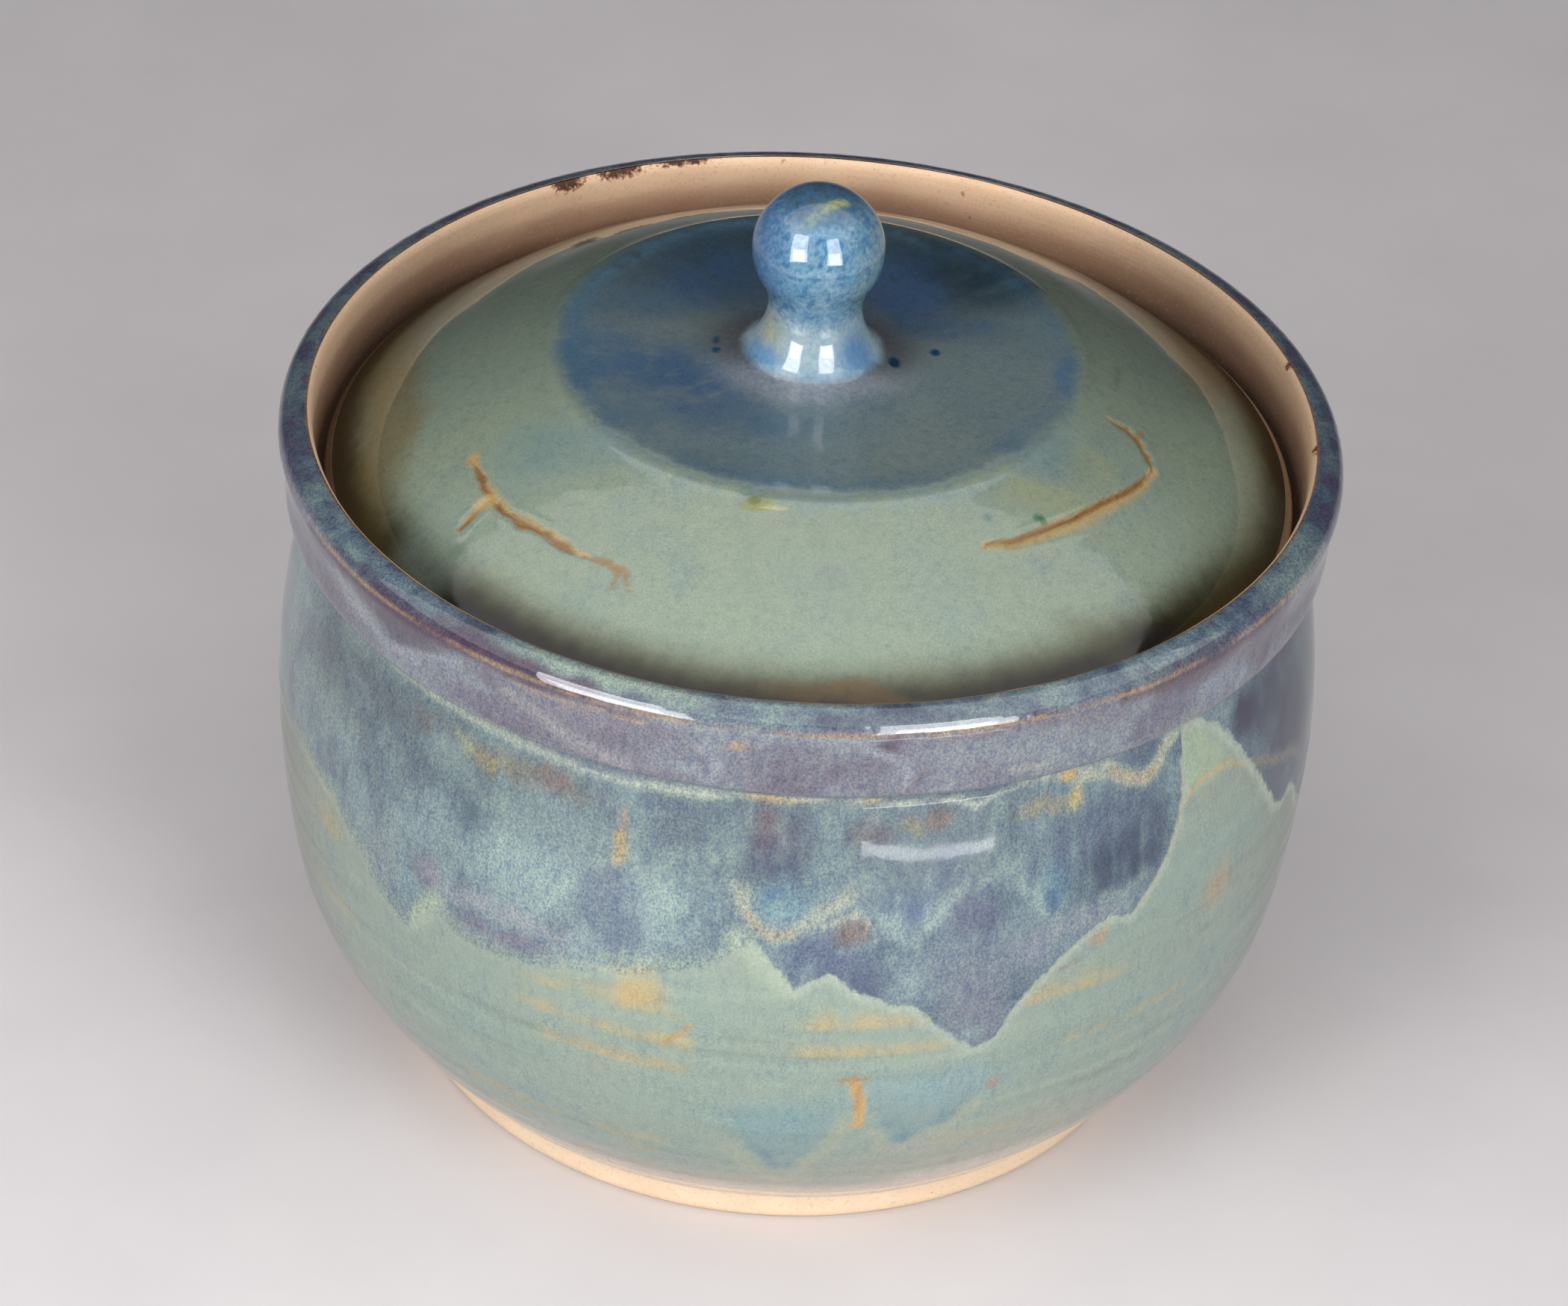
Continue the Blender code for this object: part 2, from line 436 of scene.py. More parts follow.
def glaze_material(name, grain, streak, roughness, refraction):
    """Fused glaze. It reads the painted colours below and above a run's edge, and adds flecks."""
    look = Shader(bpy.data.materials.new(name))
    even = look.place()
    fallen = look.place((1, 1, streak))
    under = look.attribute("under", "Color")
    over = look.attribute("over", "Color")
    run = look.attribute("run")
    halo = look.attribute("halo")
    vein = look.attribute("vein")
    amount = look.attribute("fleck")

    # the edge of a run, a little toothed, with the pale line that it pushes ahead of it
    tooth = look.noise(fallen, 1.1, 3.0, 0.55)
    jagged = look.math("ADD", run, look.ramp(tooth, 0.25, 0.75, -0.35, 0.35))
    base = look.mix(look.ramp(jagged, -0.3, 0.5), under, over)
    rise = look.ramp(jagged, -2.4, -0.6)
    fall = look.ramp(jagged, -0.5, 0.5, 1.0, 0.0)
    crest = look.math("MULTIPLY", look.math("MULTIPLY", rise, fall), halo)
    base = look.mix(crest, base, HALO)
    wander = look.math("ADD", vein, look.ramp(tooth, 0.25, 0.75, -0.5, 0.5))
    base = look.mix(look.ramp(wander, 0.1, 1.5, 0.6, 0.0), base, VEIN)

    # pigment gathers in fine dark and pale grains, drawn out a little where the glaze flowed
    broad = look.noise(fallen, 2.4, 4.0, 0.65)
    base = look.tint(look.ramp(broad, 0.40, 0.75, 0.0, 0.40), base, (0.74, 0.79, 0.85))
    falls = look.noise(fallen, 1.2, 4.0, 0.75)
    navy = look.math("MULTIPLY", look.ramp(falls, 0.50, 0.66, 0.0, 0.75), amount)
    base = look.tint(navy, base, (0.50, 0.62, 0.84))
    milk = look.math("MULTIPLY", look.ramp(falls, 0.47, 0.33, 0.0, 0.6), amount)
    base = look.tint(milk, base, (1.24, 1.26, 1.16))
    grains = look.noise(look.place((1, 1, (1 + streak) / 2)), grain, 4.0, 0.85)
    dark = look.math("MULTIPLY", look.ramp(grains, 0.48, 0.60), amount)
    base = look.tint(dark, base, (0.42, 0.53, 0.74))
    pale = look.math("MULTIPLY", look.ramp(grains, 0.50, 0.40), amount)
    base = look.tint(pale, base, (1.38, 1.36, 1.20))

    look.feed("Base Color", base)
    gloss = look.noise(even, 7.0, 3.0, 0.5)
    look.feed("Roughness", look.ramp(gloss, 0.3, 0.7, roughness * 0.8, roughness * 1.25))
    look.principled.inputs["IOR"].default_value = refraction
    look.bump(look.noise(even, 3.5, 2.0, 0.5), 0.02, 0.5)
    return look.owner


def clay_material(name):
    """Bare stoneware: a warm tone painted on, with specks of iron, fine grog and turning lines."""
    look = Shader(bpy.data.materials.new(name))
    even = look.place()
    tone = look.attribute("under", "Color")
    stain = look.attribute("stain")
    cloud = look.noise(even, 9.0, 4.0, 0.6)
    base = look.tint(look.ramp(cloud, 0.3, 0.7, 0.0, 0.35), tone, (0.84, 0.78, 0.72))
    grains = look.noise(even, 0.55, 2.0, 0.7)
    base = look.mix(look.ramp(grains, 0.56, 0.72, 0.0, 0.30), base, (0.24, 0.13, 0.07))
    base = look.mix(look.ramp(grains, 0.42, 0.28, 0.0, 0.12), base, (0.80, 0.68, 0.56))
    iron = look.noise(even, 1.7, 1.0, 0.4)
    base = look.mix(look.ramp(iron, 0.76, 0.81, 0.0, 0.5), base, (0.16, 0.075, 0.04))
    edge = look.math("ADD", stain, look.ramp(look.noise(even, 0.8, 3.0, 0.6), 0.3, 0.7, -0.35, 0.35))
    base = look.mix(look.ramp(edge, 0.30, 0.60, 0.0, 0.6), base, (0.32, 0.12, 0.05))
    base = look.mix(look.ramp(edge, 0.45, 0.95), base, (0.075, 0.028, 0.016))
    look.feed("Base Color", base)
    look.feed("Roughness", look.ramp(cloud, 0.3, 0.7, 0.62, 0.82))
    look.principled.inputs["Specular IOR Level"].default_value = 0.35
    lines = look.noise(look.place((0.02, 0.02, 1)), 0.5, 3.0, 0.6)
    rough = look.math("ADD", grains, look.math("MULTIPLY", lines, 0.8))
    look.bump(rough, 0.06, 0.8)
    return look.owner


FAR = 20.0  # millimetres, out of reach of anything that follows an edge


def painted_blank(grid, swatch):
    """The attributes that every glaze material reads, filled with their neutral values."""
    return {
        "under": Coat(grid.r.shape, swatch).tones,
        "over": Coat(grid.r.shape, swatch).tones,
        "run": np.full(grid.r.shape, -FAR),
        "halo": np.zeros(grid.r.shape),
        "vein": np.full(grid.r.shape, FAR),
        "fleck": np.full(grid.r.shape, 0.3),
    }


clay_look = clay_material("stoneware_clay")
body_look = glaze_material("run_glaze", 0.36, 0.5, 0.05, 1.72)
liner_look = glaze_material("liner_glaze", 0.6, 0.8, 0.14, 1.55)
lid_look = glaze_material("celadon_glaze", 0.36, 1.0, 0.07, 1.55)
knob_look = glaze_material("blue_glaze", 0.7, 0.8, 0.075, 1.72)


# ---------------------------------------------------------------- the pot

CELADON = (139, 155, 142)
CREAM_CLAY = (222, 198, 170)
TAN_CLAY = (166, 130, 104)
OCHRE = (184, 162, 108)
MILKY = (148, 166, 156)
LINER_GREEN = (150, 164, 146)

# where the upper glaze stopped running, as (azimuth, height) from the front's left to its right
LEFT_RUN = [(-180, 64), (-165, 58), (-152, 66), (-138, 63), (-126, 52), (-117, 60), (-104, 66), (-92, 61),
            (-83, 64), (-74, 66), (-66, 67), (-58, 65.5), (-52.5, 61.5), (-48, 56), (-44, 53), (-41.9, 57),
            (-39.5, 61), (-36, 58.6), (-30, 57.8), (-25, 59.5), (-20, 62), (-15, 63.8), (-11, 65), (-7, 67.5),
            (-4.5, 71)]
RIGHT_RUN = [(-2.5, 73), (-0.6, 69), (1.9, 64.5), (3.8, 66), (5.6, 67.5), (8, 64.5), (11.3, 62), (15, 60.3),
             (17, 57), (20, 52.5), (22, 50.3), (24.3, 52), (26.3, 58), (28.2, 61.5), (30.6, 64), (33, 67),
             (36.3, 69.3), (40, 68), (42.5, 72), (44.6, 76), (46.3, 81), (47.1, 86), (47.3, 92), (47.6, 97.5),
             (49.6, 97.2), (53.4, 93.5), (56.2, 89), (58.2, 85), (60, 82), (61.6, 79), (64, 73), (66.6, 68.2),
             (69.3, 67), (71, 68.3), (73, 66), (76, 60), (80, 62), (86, 70), (93, 66), (101, 57),
             (107, 61), (116, 72), (126, 69), (137, 55), (144, 60), (156, 70), (168, 69), (180, 64)]
RUN_EDGE = LEFT_RUN + RIGHT_RUN

# Below, x is an azimuth and y a height. The stains and strokes are as Coat takes them.
# ochre where the glaze is thin over the throwing rings, as left, right, low, high and strength
OCHRE_RINGS = [
    (-28, -10, 55.6, 57.6, 0.5), (-17, -11.5, 57, 63, 0.75), (-23, -13, 57, 60.5, 0.4),
    (-29, -12, 50.6, 52.3, 0.5), (-25, -9.8, 45, 47.6, 0.5), (3, 17, 56.8, 60.3, 0.5),
    (8, 15, 57.2, 61, 0.35), (4.8, 6.4, 57, 62.5, 0.45), (3, 18.5, 51, 53.2, 0.55), (27, 35, 57, 62, 0.6),
    (32, 41, 56.4, 60, 0.35), (33, 55, 45.8, 47.4, 0.3), (-38, -25, 26, 28.6, 0.4),
    (-20, -11, 26.2, 28, 0.4), (-35, -25, 21, 25, 0.3), (-18, -13, 22, 25.5, 0.3),
    (19, 29, 28, 30.4, 0.35), (24, 38, 19, 25, 0.25), (-84, -79, 28, 31, 0.5), (-85, -81, 13, 21, 0.4),
    (-72, -55, 43, 47, 0.35), (-62, -58, 58, 62, 0.3), (96, 111, 47, 50, 0.6), (118, 131, 61, 65, 0.6),
    (148, 166, 53, 56, 0.6), (-158, -141, 54, 58, 0.6), (-132, -121, 44, 46, 0.5), (-112, -98, 56, 60, 0.6)]
GROUND_STAINS = [
    (-14.6, 60.4, 2.7, 3.8, (184, 160, 104), 0.7), (-57.5, 61, 2.4, 2.8, (168, 156, 112), 0.6),
    (36.3, 66.4, 1.3, 1.6, (176, 150, 124), 0.7), (54, 64, 2.4, 3.6, (174, 150, 120), 0.55),
    (18, 42.5, 8, 4.5, (126, 156, 162), 0.6), (1, 37, 6, 4, (128, 158, 160), 0.5),
    (40, 36, 6, 0.9, (128, 130, 122), 0.5), (25.4, 42, 0.7, 1.6, (160, 128, 108), 0.7),
    # the two on the next line are painted light: a pale reflection of the floor low on the right of the front
    (26, 24, 14, 8, (166, 164, 146), 0.5), (30, 13, 16, 5, (240, 222, 204), 0.7)]
GROUND_STROKES = [
    (1.2, 0.9, (180, 166, 112), 0.6, [(-12, 51.6), (-9, 51.4)]),
    (0.45, 0.8, (178, 142, 90), 0.75, [(-11.4, 50.9), (-10.6, 52.2), (-9.4, 53.6), (-8.6, 55.4)]),
    (0.35, 0.6, (128, 116, 88), 0.6, [(27.6, 60.6), (29.6, 61.9), (33.6, 62.5)])]
# the rusty bar low on the front
BAR_STROKES = [
    (0.95, 0.3, (190, 152, 92), 0.85, [(8.9, 46), (9.5, 43.5), (9.9, 40.5), (9.8, 38), (9.9, 35.8)]),
    (0.4, 0.6, (178, 122, 62), 0.65, [(9, 46.2), (9.6, 43.5), (9.9, 39.5)]),
    (0.4, 0.6, (160, 122, 72), 0.7, [(7.4, 45.9), (9, 46.5), (10.6, 45.8)])]
# pooled points low on the belly: the lower edge of the pool, and the pale line round it
TURQUOISE_POINTS = [
    ([(-3.4, 34), (-2, 28), (0, 24), (1.6, 20), (3.2, 23.5), (4.6, 27), (6.2, 31.5), (8, 38)],
     [(-4, 29), (-2.6, 24.5), (-0.4, 20), (1.8, 18.3), (4, 20.6), (5.8, 26), (7.3, 31), (8.4, 36)]),
    ([(11.6, 39), (12.8, 33.5), (14.2, 30.8), (15.6, 29.8), (17, 32), (20, 34.3), (22.6, 38), (25, 44)],
     [(12, 33.5), (13.4, 30), (15, 28), (17, 28), (19.2, 30.2), (21.2, 33), (23.6, 37.5)]),
    ([(127, 44), (129, 33), (131, 24), (133, 32), (136, 42)],
     [(127.5, 34), (129.5, 26), (131, 22), (133, 26), (135.5, 35)]),
    ([(-143, 44), (-140, 34), (-138, 28), (-136, 33), (-133, 42)],
     [(-142.5, 35), (-140, 29), (-138, 26), (-136, 28), (-133.5, 35)])]
# soft stains of stronger colour in the upper glaze
RUN_STAINS = [
    (-52, 91.5, 9, 3.2, (100, 110, 118), 0.75), (-66, 88, 6, 5, (104, 112, 120), 0.7),
    (-60, 82, 7, 4, (140, 156, 150), 0.5), (-43.6, 62, 1.6, 5, (120, 146, 150), 0.7),
    (-40.4, 66.5, 1.7, 4, (122, 120, 130), 0.85), (-47, 64, 3, 5, (138, 150, 148), 0.6),
    (-29, 61.6, 7, 2.3, (116, 112, 128), 0.9), (-31, 66.5, 9, 1.8, (152, 150, 156), 0.6),
    (-35.2, 80.4, 1.5, 2.3, (84, 104, 114), 0.9), (-33, 83, 2.4, 0.8, (96, 114, 124), 0.8),
    (-28, 75, 6, 6, (146, 166, 160), 0.65), (-25, 86, 7, 4, (136, 156, 152), 0.5),
    (-18, 74, 2.8, 6, (104, 118, 130), 0.85), (-16.4, 70.5, 1.8, 3, (94, 110, 126), 0.7),
    (-12.5, 77, 2, 5, (146, 168, 158), 0.7), (-9, 65.5, 7, 1.6, (158, 172, 152), 0.75),
    (-30, 92, 8, 2.2, (132, 124, 110), 0.75), (-33.5, 91.5, 2, 2, (152, 146, 112), 0.6),
    (-26, 92.4, 2.4, 2, (126, 104, 102), 0.6), (-42, 92, 3, 1.6, (114, 108, 114), 0.75),
    (-37.6, 92, 1.2, 1.7, (170, 174, 136), 0.85), (-13, 94, 6, 1.4, (104, 118, 134), 0.6),
    (-2, 92, 2.2, 3.6, (122, 98, 104), 0.85), (-1.2, 87, 2.6, 4.2, (82, 86, 110), 0.8),
    (1.2, 91, 1.6, 4, (92, 92, 112), 0.7), (0, 79.3, 2.9, 4.4, (116, 150, 156), 0.65),
    (-1, 81, 1.2, 1.2, (74, 104, 136), 0.6), (5, 70, 4.4, 5.5, (88, 98, 122), 0.85),
    (7.4, 74.7, 2, 2.5, (126, 102, 84), 0.85), (9.6, 66, 1.8, 4, (72, 82, 108), 0.75),
    (13.2, 79.4, 2.6, 2.6, (74, 96, 122), 0.85), (5, 85, 2, 5, (128, 150, 154), 0.6),
    (9, 92, 2.2, 2.4, (104, 90, 100), 0.75), (16.6, 93.4, 1.6, 2, (138, 118, 104), 0.75),
    (13.4, 93.4, 1.1, 1.6, (150, 142, 108), 0.7), (18, 85, 3, 4, (92, 108, 128), 0.6),
    (21, 77, 3.2, 4, (88, 92, 114), 0.75), (22, 67, 6.5, 5.5, (114, 123, 133), 0.75),
    (21.8, 57.5, 3.6, 6.5, (114, 116, 129), 0.85), (30, 79, 1.7, 4.6, (96, 128, 144), 0.7),
    (28.8, 76, 0.9, 2.2, (62, 98, 130), 0.7), (36, 86, 8, 5.5, (84, 94, 112), 0.75),
    (38, 78.5, 5.4, 5, (54, 68, 88), 0.9), (42, 82, 3, 6, (64, 76, 96), 0.7),
    (34, 70.5, 4.5, 3, (134, 141, 146), 0.75), (28, 69, 2.6, 3, (134, 138, 148), 0.7),
    (32, 93, 0.8, 2.3, (190, 168, 98), 0.9), (29, 92.4, 2.2, 1.5, (144, 136, 104), 0.65),
    (26.5, 93, 1.2, 1.4, (150, 140, 112), 0.5), (59, 91, 3, 3.6, (58, 50, 76), 0.9),
    (66, 89, 5, 6, (76, 78, 98), 0.85), (72, 80, 6, 10, (84, 88, 104), 0.8),
    (68, 85, 2.4, 3, (64, 70, 94), 0.7), (65.5, 73.5, 2.6, 4.2, (108, 118, 126), 0.95),
    (70, 94.5, 4, 1.6, (104, 74, 90), 0.7), (-96, 80, 9, 8, (96, 108, 122), 0.7),
    (-120, 76, 8, 10, (84, 94, 114), 0.8), (-150, 82, 9, 7, (118, 112, 130), 0.7),
    (-136, 88, 4, 4, (150, 140, 108), 0.6), (96, 78, 8, 9, (82, 92, 114), 0.8),
    (112, 84, 5, 6, (104, 144, 160), 0.6), (134, 76, 8, 8, (92, 90, 114), 0.8),
    (160, 84, 9, 7, (128, 146, 150), 0.7), (176, 76, 7, 6, (98, 104, 124), 0.7),
    (121, 90, 1.1, 2.4, (198, 174, 98), 0.8), (-94, 89, 1, 3, (196, 168, 98), 0.8)]
# scallops of milky glaze between the falls of blue, as half a width, strength and points
SCALLOPS = [
    (1.3, 0.7, [(11, 77), (12.2, 74), (14, 72.4), (15.6, 74), (17.4, 78), (20, 82), (23, 84)]),
    (1.1, 0.7, [(24.5, 85), (26, 81), (27, 77.5), (28, 74.4), (30, 73), (32, 75.5)]),
    (1.3, 0.5, [(3, 84), (6, 87), (8, 90), (9, 94)]), (1.4, 0.5, [(20, 84), (22, 89), (23, 94)]),
    (1.1, 0.75, [(-26, 72), (-23, 76), (-20.4, 80), (-18.2, 83)]),
    (1.2, 0.6, [(-16.8, 83.4), (-14.6, 80), (-12, 77)]), (1.6, 0.5, [(-12.6, 84), (-10, 87), (-6, 88)]),
    (2, 0.5, [(-35, 86), (-30, 82), (-31, 78)]), (2.2, 0.45, [(-48, 84), (-44, 80), (-46, 74), (-48, 68)]),
    (0.6, 0.45, [(-61, 94), (-56, 90), (-50, 86), (-45, 85.6)]),
    (2, 0.55, [(-38, 78), (-36, 72), (-37.5, 68)]), (1.2, 0.5, [(36, 74), (39, 73), (42, 75)]),
    (1, 0.7, [(-5, 84), (-3.6, 79), (-2.8, 76)]),
    (1.4, 0.6, [(96, 90), (99, 82), (103, 78), (107, 83), (110, 91)]),
    (1.6, 0.6, [(140, 92), (144, 84), (149, 81), (153, 88)]),
    (1.5, 0.6, [(-114, 92), (-109, 83), (-105, 80), (-101, 86)]),
    (1.6, 0.6, [(-172, 92), (-168, 84), (-163, 80), (-159, 88)])]
# a rust-edged fold round the blue pool, and rust in the yellow fall beside it
FOLD_STROKES = [
    (1.35, 0.8, (162, 166, 148), 0.75, [(-4.4, 82), (-3.4, 78), (-2.1, 75.2), (-0.4, 73.9), (1.2, 74.8),
                                        (3.8, 77.8), (5.8, 80), (7.2, 81.6)]),
    (0.5, 0.8, (166, 142, 114), 0.6, [(-3.4, 78), (-2.1, 75.2), (-0.4, 73.9), (1.2, 74.8)]),
    (0.6, 0.9, (170, 142, 120), 0.75, [(-17.5, 91), (-17.4, 88), (-17.5, 86)]),
    (0.95, 0.8, (182, 158, 108), 0.85, [(-17.6, 87), (-17.4, 84.8), (-17.6, 83)])]
# the tan line across the foot of the milky notch
NOTCH_LINE = [
    (41.5, 69), (43.6, 74.2), (45.6, 79), (47.4, 83.6), (49.5, 85.4), (52.5, 86), (55.5, 85.5),
    (57.4, 83.6), (60, 81.4), (63, 79.6), (67, 77), (71.5, 74), (75, 70)]
# a cream seam tight under the collar, dipping once, with rust behind it; the slate along its top is partly
# slate glaze, partly painted shade under the collar's edge
SEAM_STROKES = [
    (0.85, 0.8, (166, 173, 156), 0.8, [(-50, 97.6), (-44, 97.1), (-36, 96.9), (-28, 96.7), (-20, 96.3),
                                       (-14, 96.5), (-8, 96.8)]),
    (0.5, 0.8, (170, 176, 158), 0.8, [(-9, 96.8), (-5, 97.3), (2, 97.4), (9, 97.3), (12.5, 96.7),
                                      (15.5, 97.1), (18.4, 96.2), (20.4, 94.9), (22.6, 96.3), (25.5, 97.2),
                                      (30, 97.1), (34, 96.2)])]
DIP_STROKES = [
    (1.3, 0.6, (168, 172, 150), 0.9, [(33, 96.2), (37, 95.2), (39.2, 93), (41.4, 91.3), (43.2, 92.6),
                                      (44.8, 95.2), (46.4, 96.6)]),
    (0.5, 0.8, (172, 142, 110), 0.7, [(37, 95.2), (39.2, 93), (41.4, 91.3), (43.2, 92.6)])]
SEAM_STAINS = [
    (41.4, 96.2, 2.6, 2.4, (92, 104, 120), 0.9), (-21, 97.2, 6, 0.8, (98, 110, 122), 0.8),
    (15.5, 97.2, 1.8, 0.6, (92, 104, 116), 0.8), (22, 97.2, 2.8, 0.8, (84, 98, 114), 0.85),
    (5.4, 97.2, 2, 0.5, (96, 108, 120), 0.7), (-1.5, 97.3, 3, 0.5, (196, 158, 104), 0.85),
    (9.4, 97.3, 1.6, 0.4, (184, 154, 108), 0.7), (31.4, 96.8, 1.1, 1, (204, 166, 100), 0.85)]
# the pale tips where two runs part
PALE_TIPS = [
    (1.5, 0.8, (160, 173, 150), 0.7, [(-42.4, 55), (-41.2, 58), (-40, 60.8), (-39, 62.6)]),
    (1.5, 0.8, (160, 174, 152), 0.7, [(-4.4, 73.6), (-3, 70.6), (-1.2, 67.4), (0.4, 64.6)])]
VEINS = [
    [(3.6, 76), (5, 76.2), (6.4, 77.2), (8, 78.6), (9, 77.6), (9.8, 74), (9.9, 71)],
    [(-70, 65.6), (-66, 66.9), (-60, 66), (-55.5, 64.2), (-52, 61)], [(-24, 61), (-18, 63.2), (-12, 64.6)],
    [(-43, 55), (-41.2, 59), (-39.4, 62.6)]]
# On the collar and lip, y is the distance down from the inner edge of the lip.
COLLAR_STAINS = [
    (-37, 3.2, 5.5, 1.7, (84, 72, 84), 0.85), (-50, 4.2, 8, 1, (88, 84, 98), 0.8),
    (-29, 3.7, 2.4, 0.7, (90, 74, 80), 0.8), (-20, 1.8, 11, 1.6, (146, 160, 142), 0.75),
    (-27, 6.5, 6, 0.7, (86, 72, 82), 0.8), (-19, 6.8, 4, 0.6, (104, 84, 92), 0.7),
    (-47, 8.5, 6.5, 3.6, (80, 70, 84), 0.9), (-46, 11.6, 3, 2, (82, 80, 98), 0.8),
    (-54, 12.8, 3.4, 2.8, (148, 154, 156), 0.6), (-37, 10.4, 3.4, 3.2, (136, 146, 152), 0.6),
    (-22, 10, 9, 1.8, (130, 124, 136), 0.6), (-35, 14.8, 5.5, 2.4, (112, 108, 122), 0.75),
    (-60, 16, 6, 2.4, (108, 102, 116), 0.6), (-5.4, 9.2, 1.1, 1, (170, 146, 122), 0.75),
    (9.6, 7.4, 1.1, 1.9, (92, 76, 94), 0.85), (22, 6.8, 9, 0.6, (112, 92, 102), 0.7),
    (4, 6.8, 4, 1, (140, 146, 152), 0.6), (23, 10.6, 9, 3.4, (136, 145, 150), 0.7),
    (25, 16, 2, 0.9, (158, 164, 150), 0.7), (45, 8, 6.5, 3, (88, 76, 90), 0.85),
    (43, 13, 4, 3.2, (104, 104, 122), 0.7), (58, 10, 3.4, 5, (98, 90, 106), 0.75),
    (51, 14, 4, 2.4, (132, 146, 156), 0.7), (66, 5.6, 5, 2.6, (138, 150, 142), 0.6),
    (33, 14, 5, 2.6, (134, 144, 150), 0.6), (46, 4, 8, 1, (84, 80, 94), 0.7),
    (12, 3.4, 10, 1, (92, 96, 106), 0.6), (-66, 10, 7, 5, (122, 124, 134), 0.6),
    (-80, 8, 9, 6, (94, 90, 104), 0.7), (84, 9, 8, 6, (98, 98, 112), 0.7),
    (105, 9, 10, 5, (108, 104, 120), 0.7), (140, 9, 12, 6, (98, 90, 106), 0.7),
    (-110, 10, 10, 5, (132, 136, 144), 0.6), (-135, 9, 12, 5, (100, 92, 108), 0.7),
    (172, 11, 10, 4, (142, 148, 152), 0.6)]
COLLAR_STROKES = [
    (1.5, 0.7, (80, 58, 76), 0.7, [(-64, 7.4), (-52, 7), (-42, 6.2), (-32, 4.8), (-21, 4.4)]),
    (1.3, 0.7, (88, 66, 80), 0.6, [(36, 6.6), (46, 6.8), (60, 7.2)]),
    (1, 0.7, (148, 154, 160), 0.7, [(-58, 9), (-54, 12.6), (-48, 15), (-43, 13), (-37, 9)]),
    (1.4, 0.7, (150, 148, 150), 0.6, [(-31, 10.5), (-25, 14), (-18, 17)]),
    (0.6, 0.7, (150, 156, 164), 0.75, [(7.6, 8.4), (10.6, 11), (12, 13.4), (12, 16)]),
    (0.7, 0.7, (146, 150, 160), 0.6, [(-9, 11), (-7, 14), (-8.4, 17)]),
    (0.8, 0.7, (92, 84, 98), 0.75, [(62, 6), (60, 12), (58.5, 17)]),
    (0.35, 0.7, (172, 148, 124), 0.65, [(-30, 7.9), (-22, 7.7), (-15, 7.8)])]
# cream beads in the fold, as left, right, middle, half a height, colour and strength
BEADS = [
    (-44, -29, 18.7, 0.5, (156, 160, 142), 0.7), (27, 38, 19, 0.3, (166, 152, 118), 0.5),
    (43.5, 48, 18.7, 0.8, (164, 158, 130), 0.7), (84, 92, 18.5, 0.8, (160, 152, 124), 0.5),
    (-110, -98, 18.8, 0.6, (158, 156, 128), 0.5), (4, 14, 20.8, 0.3, (150, 138, 124), 0.4)]
# scorched specks on the inside of the lip, as azimuth, half a width and depth
LIP_SPECKS = [(-154, 3.0, 1.3), (-147, 2.2, 1.6), (-162, 4.0, 0.6), (89, 0.9, 0.8), (107, 0.8, 0.8)]


def on_belly(points):
    """Points of azimuth and height, with the azimuth turned into millimetres of belly."""
    return [(azimuth * DEGREE_LENGTH, height) for azimuth, height in points]


def run_distance(az, z):
    """Millimetres inside the upper glaze, negative below its edge."""
    edge = np.array(RUN_EDGE, float)
    height = np.interp(az, edge[:, 0], edge[:, 1])
    away, _, _ = line_distance(az * DEGREE_LENGTH, z, on_belly(RUN_EDGE))
    return np.where(z > height, away, -away)


def pot_skin():
    """The outlines of the lip, the collar and the belly, from the top down."""
    lip = smooth_line(LIP, 0.34)
    collar = smooth_line(COLLAR[::-1], 0.75)
    belly = smooth_line([COLLAR[0], *BELLY[::-1]], 0.75)
    return lip, collar, belly


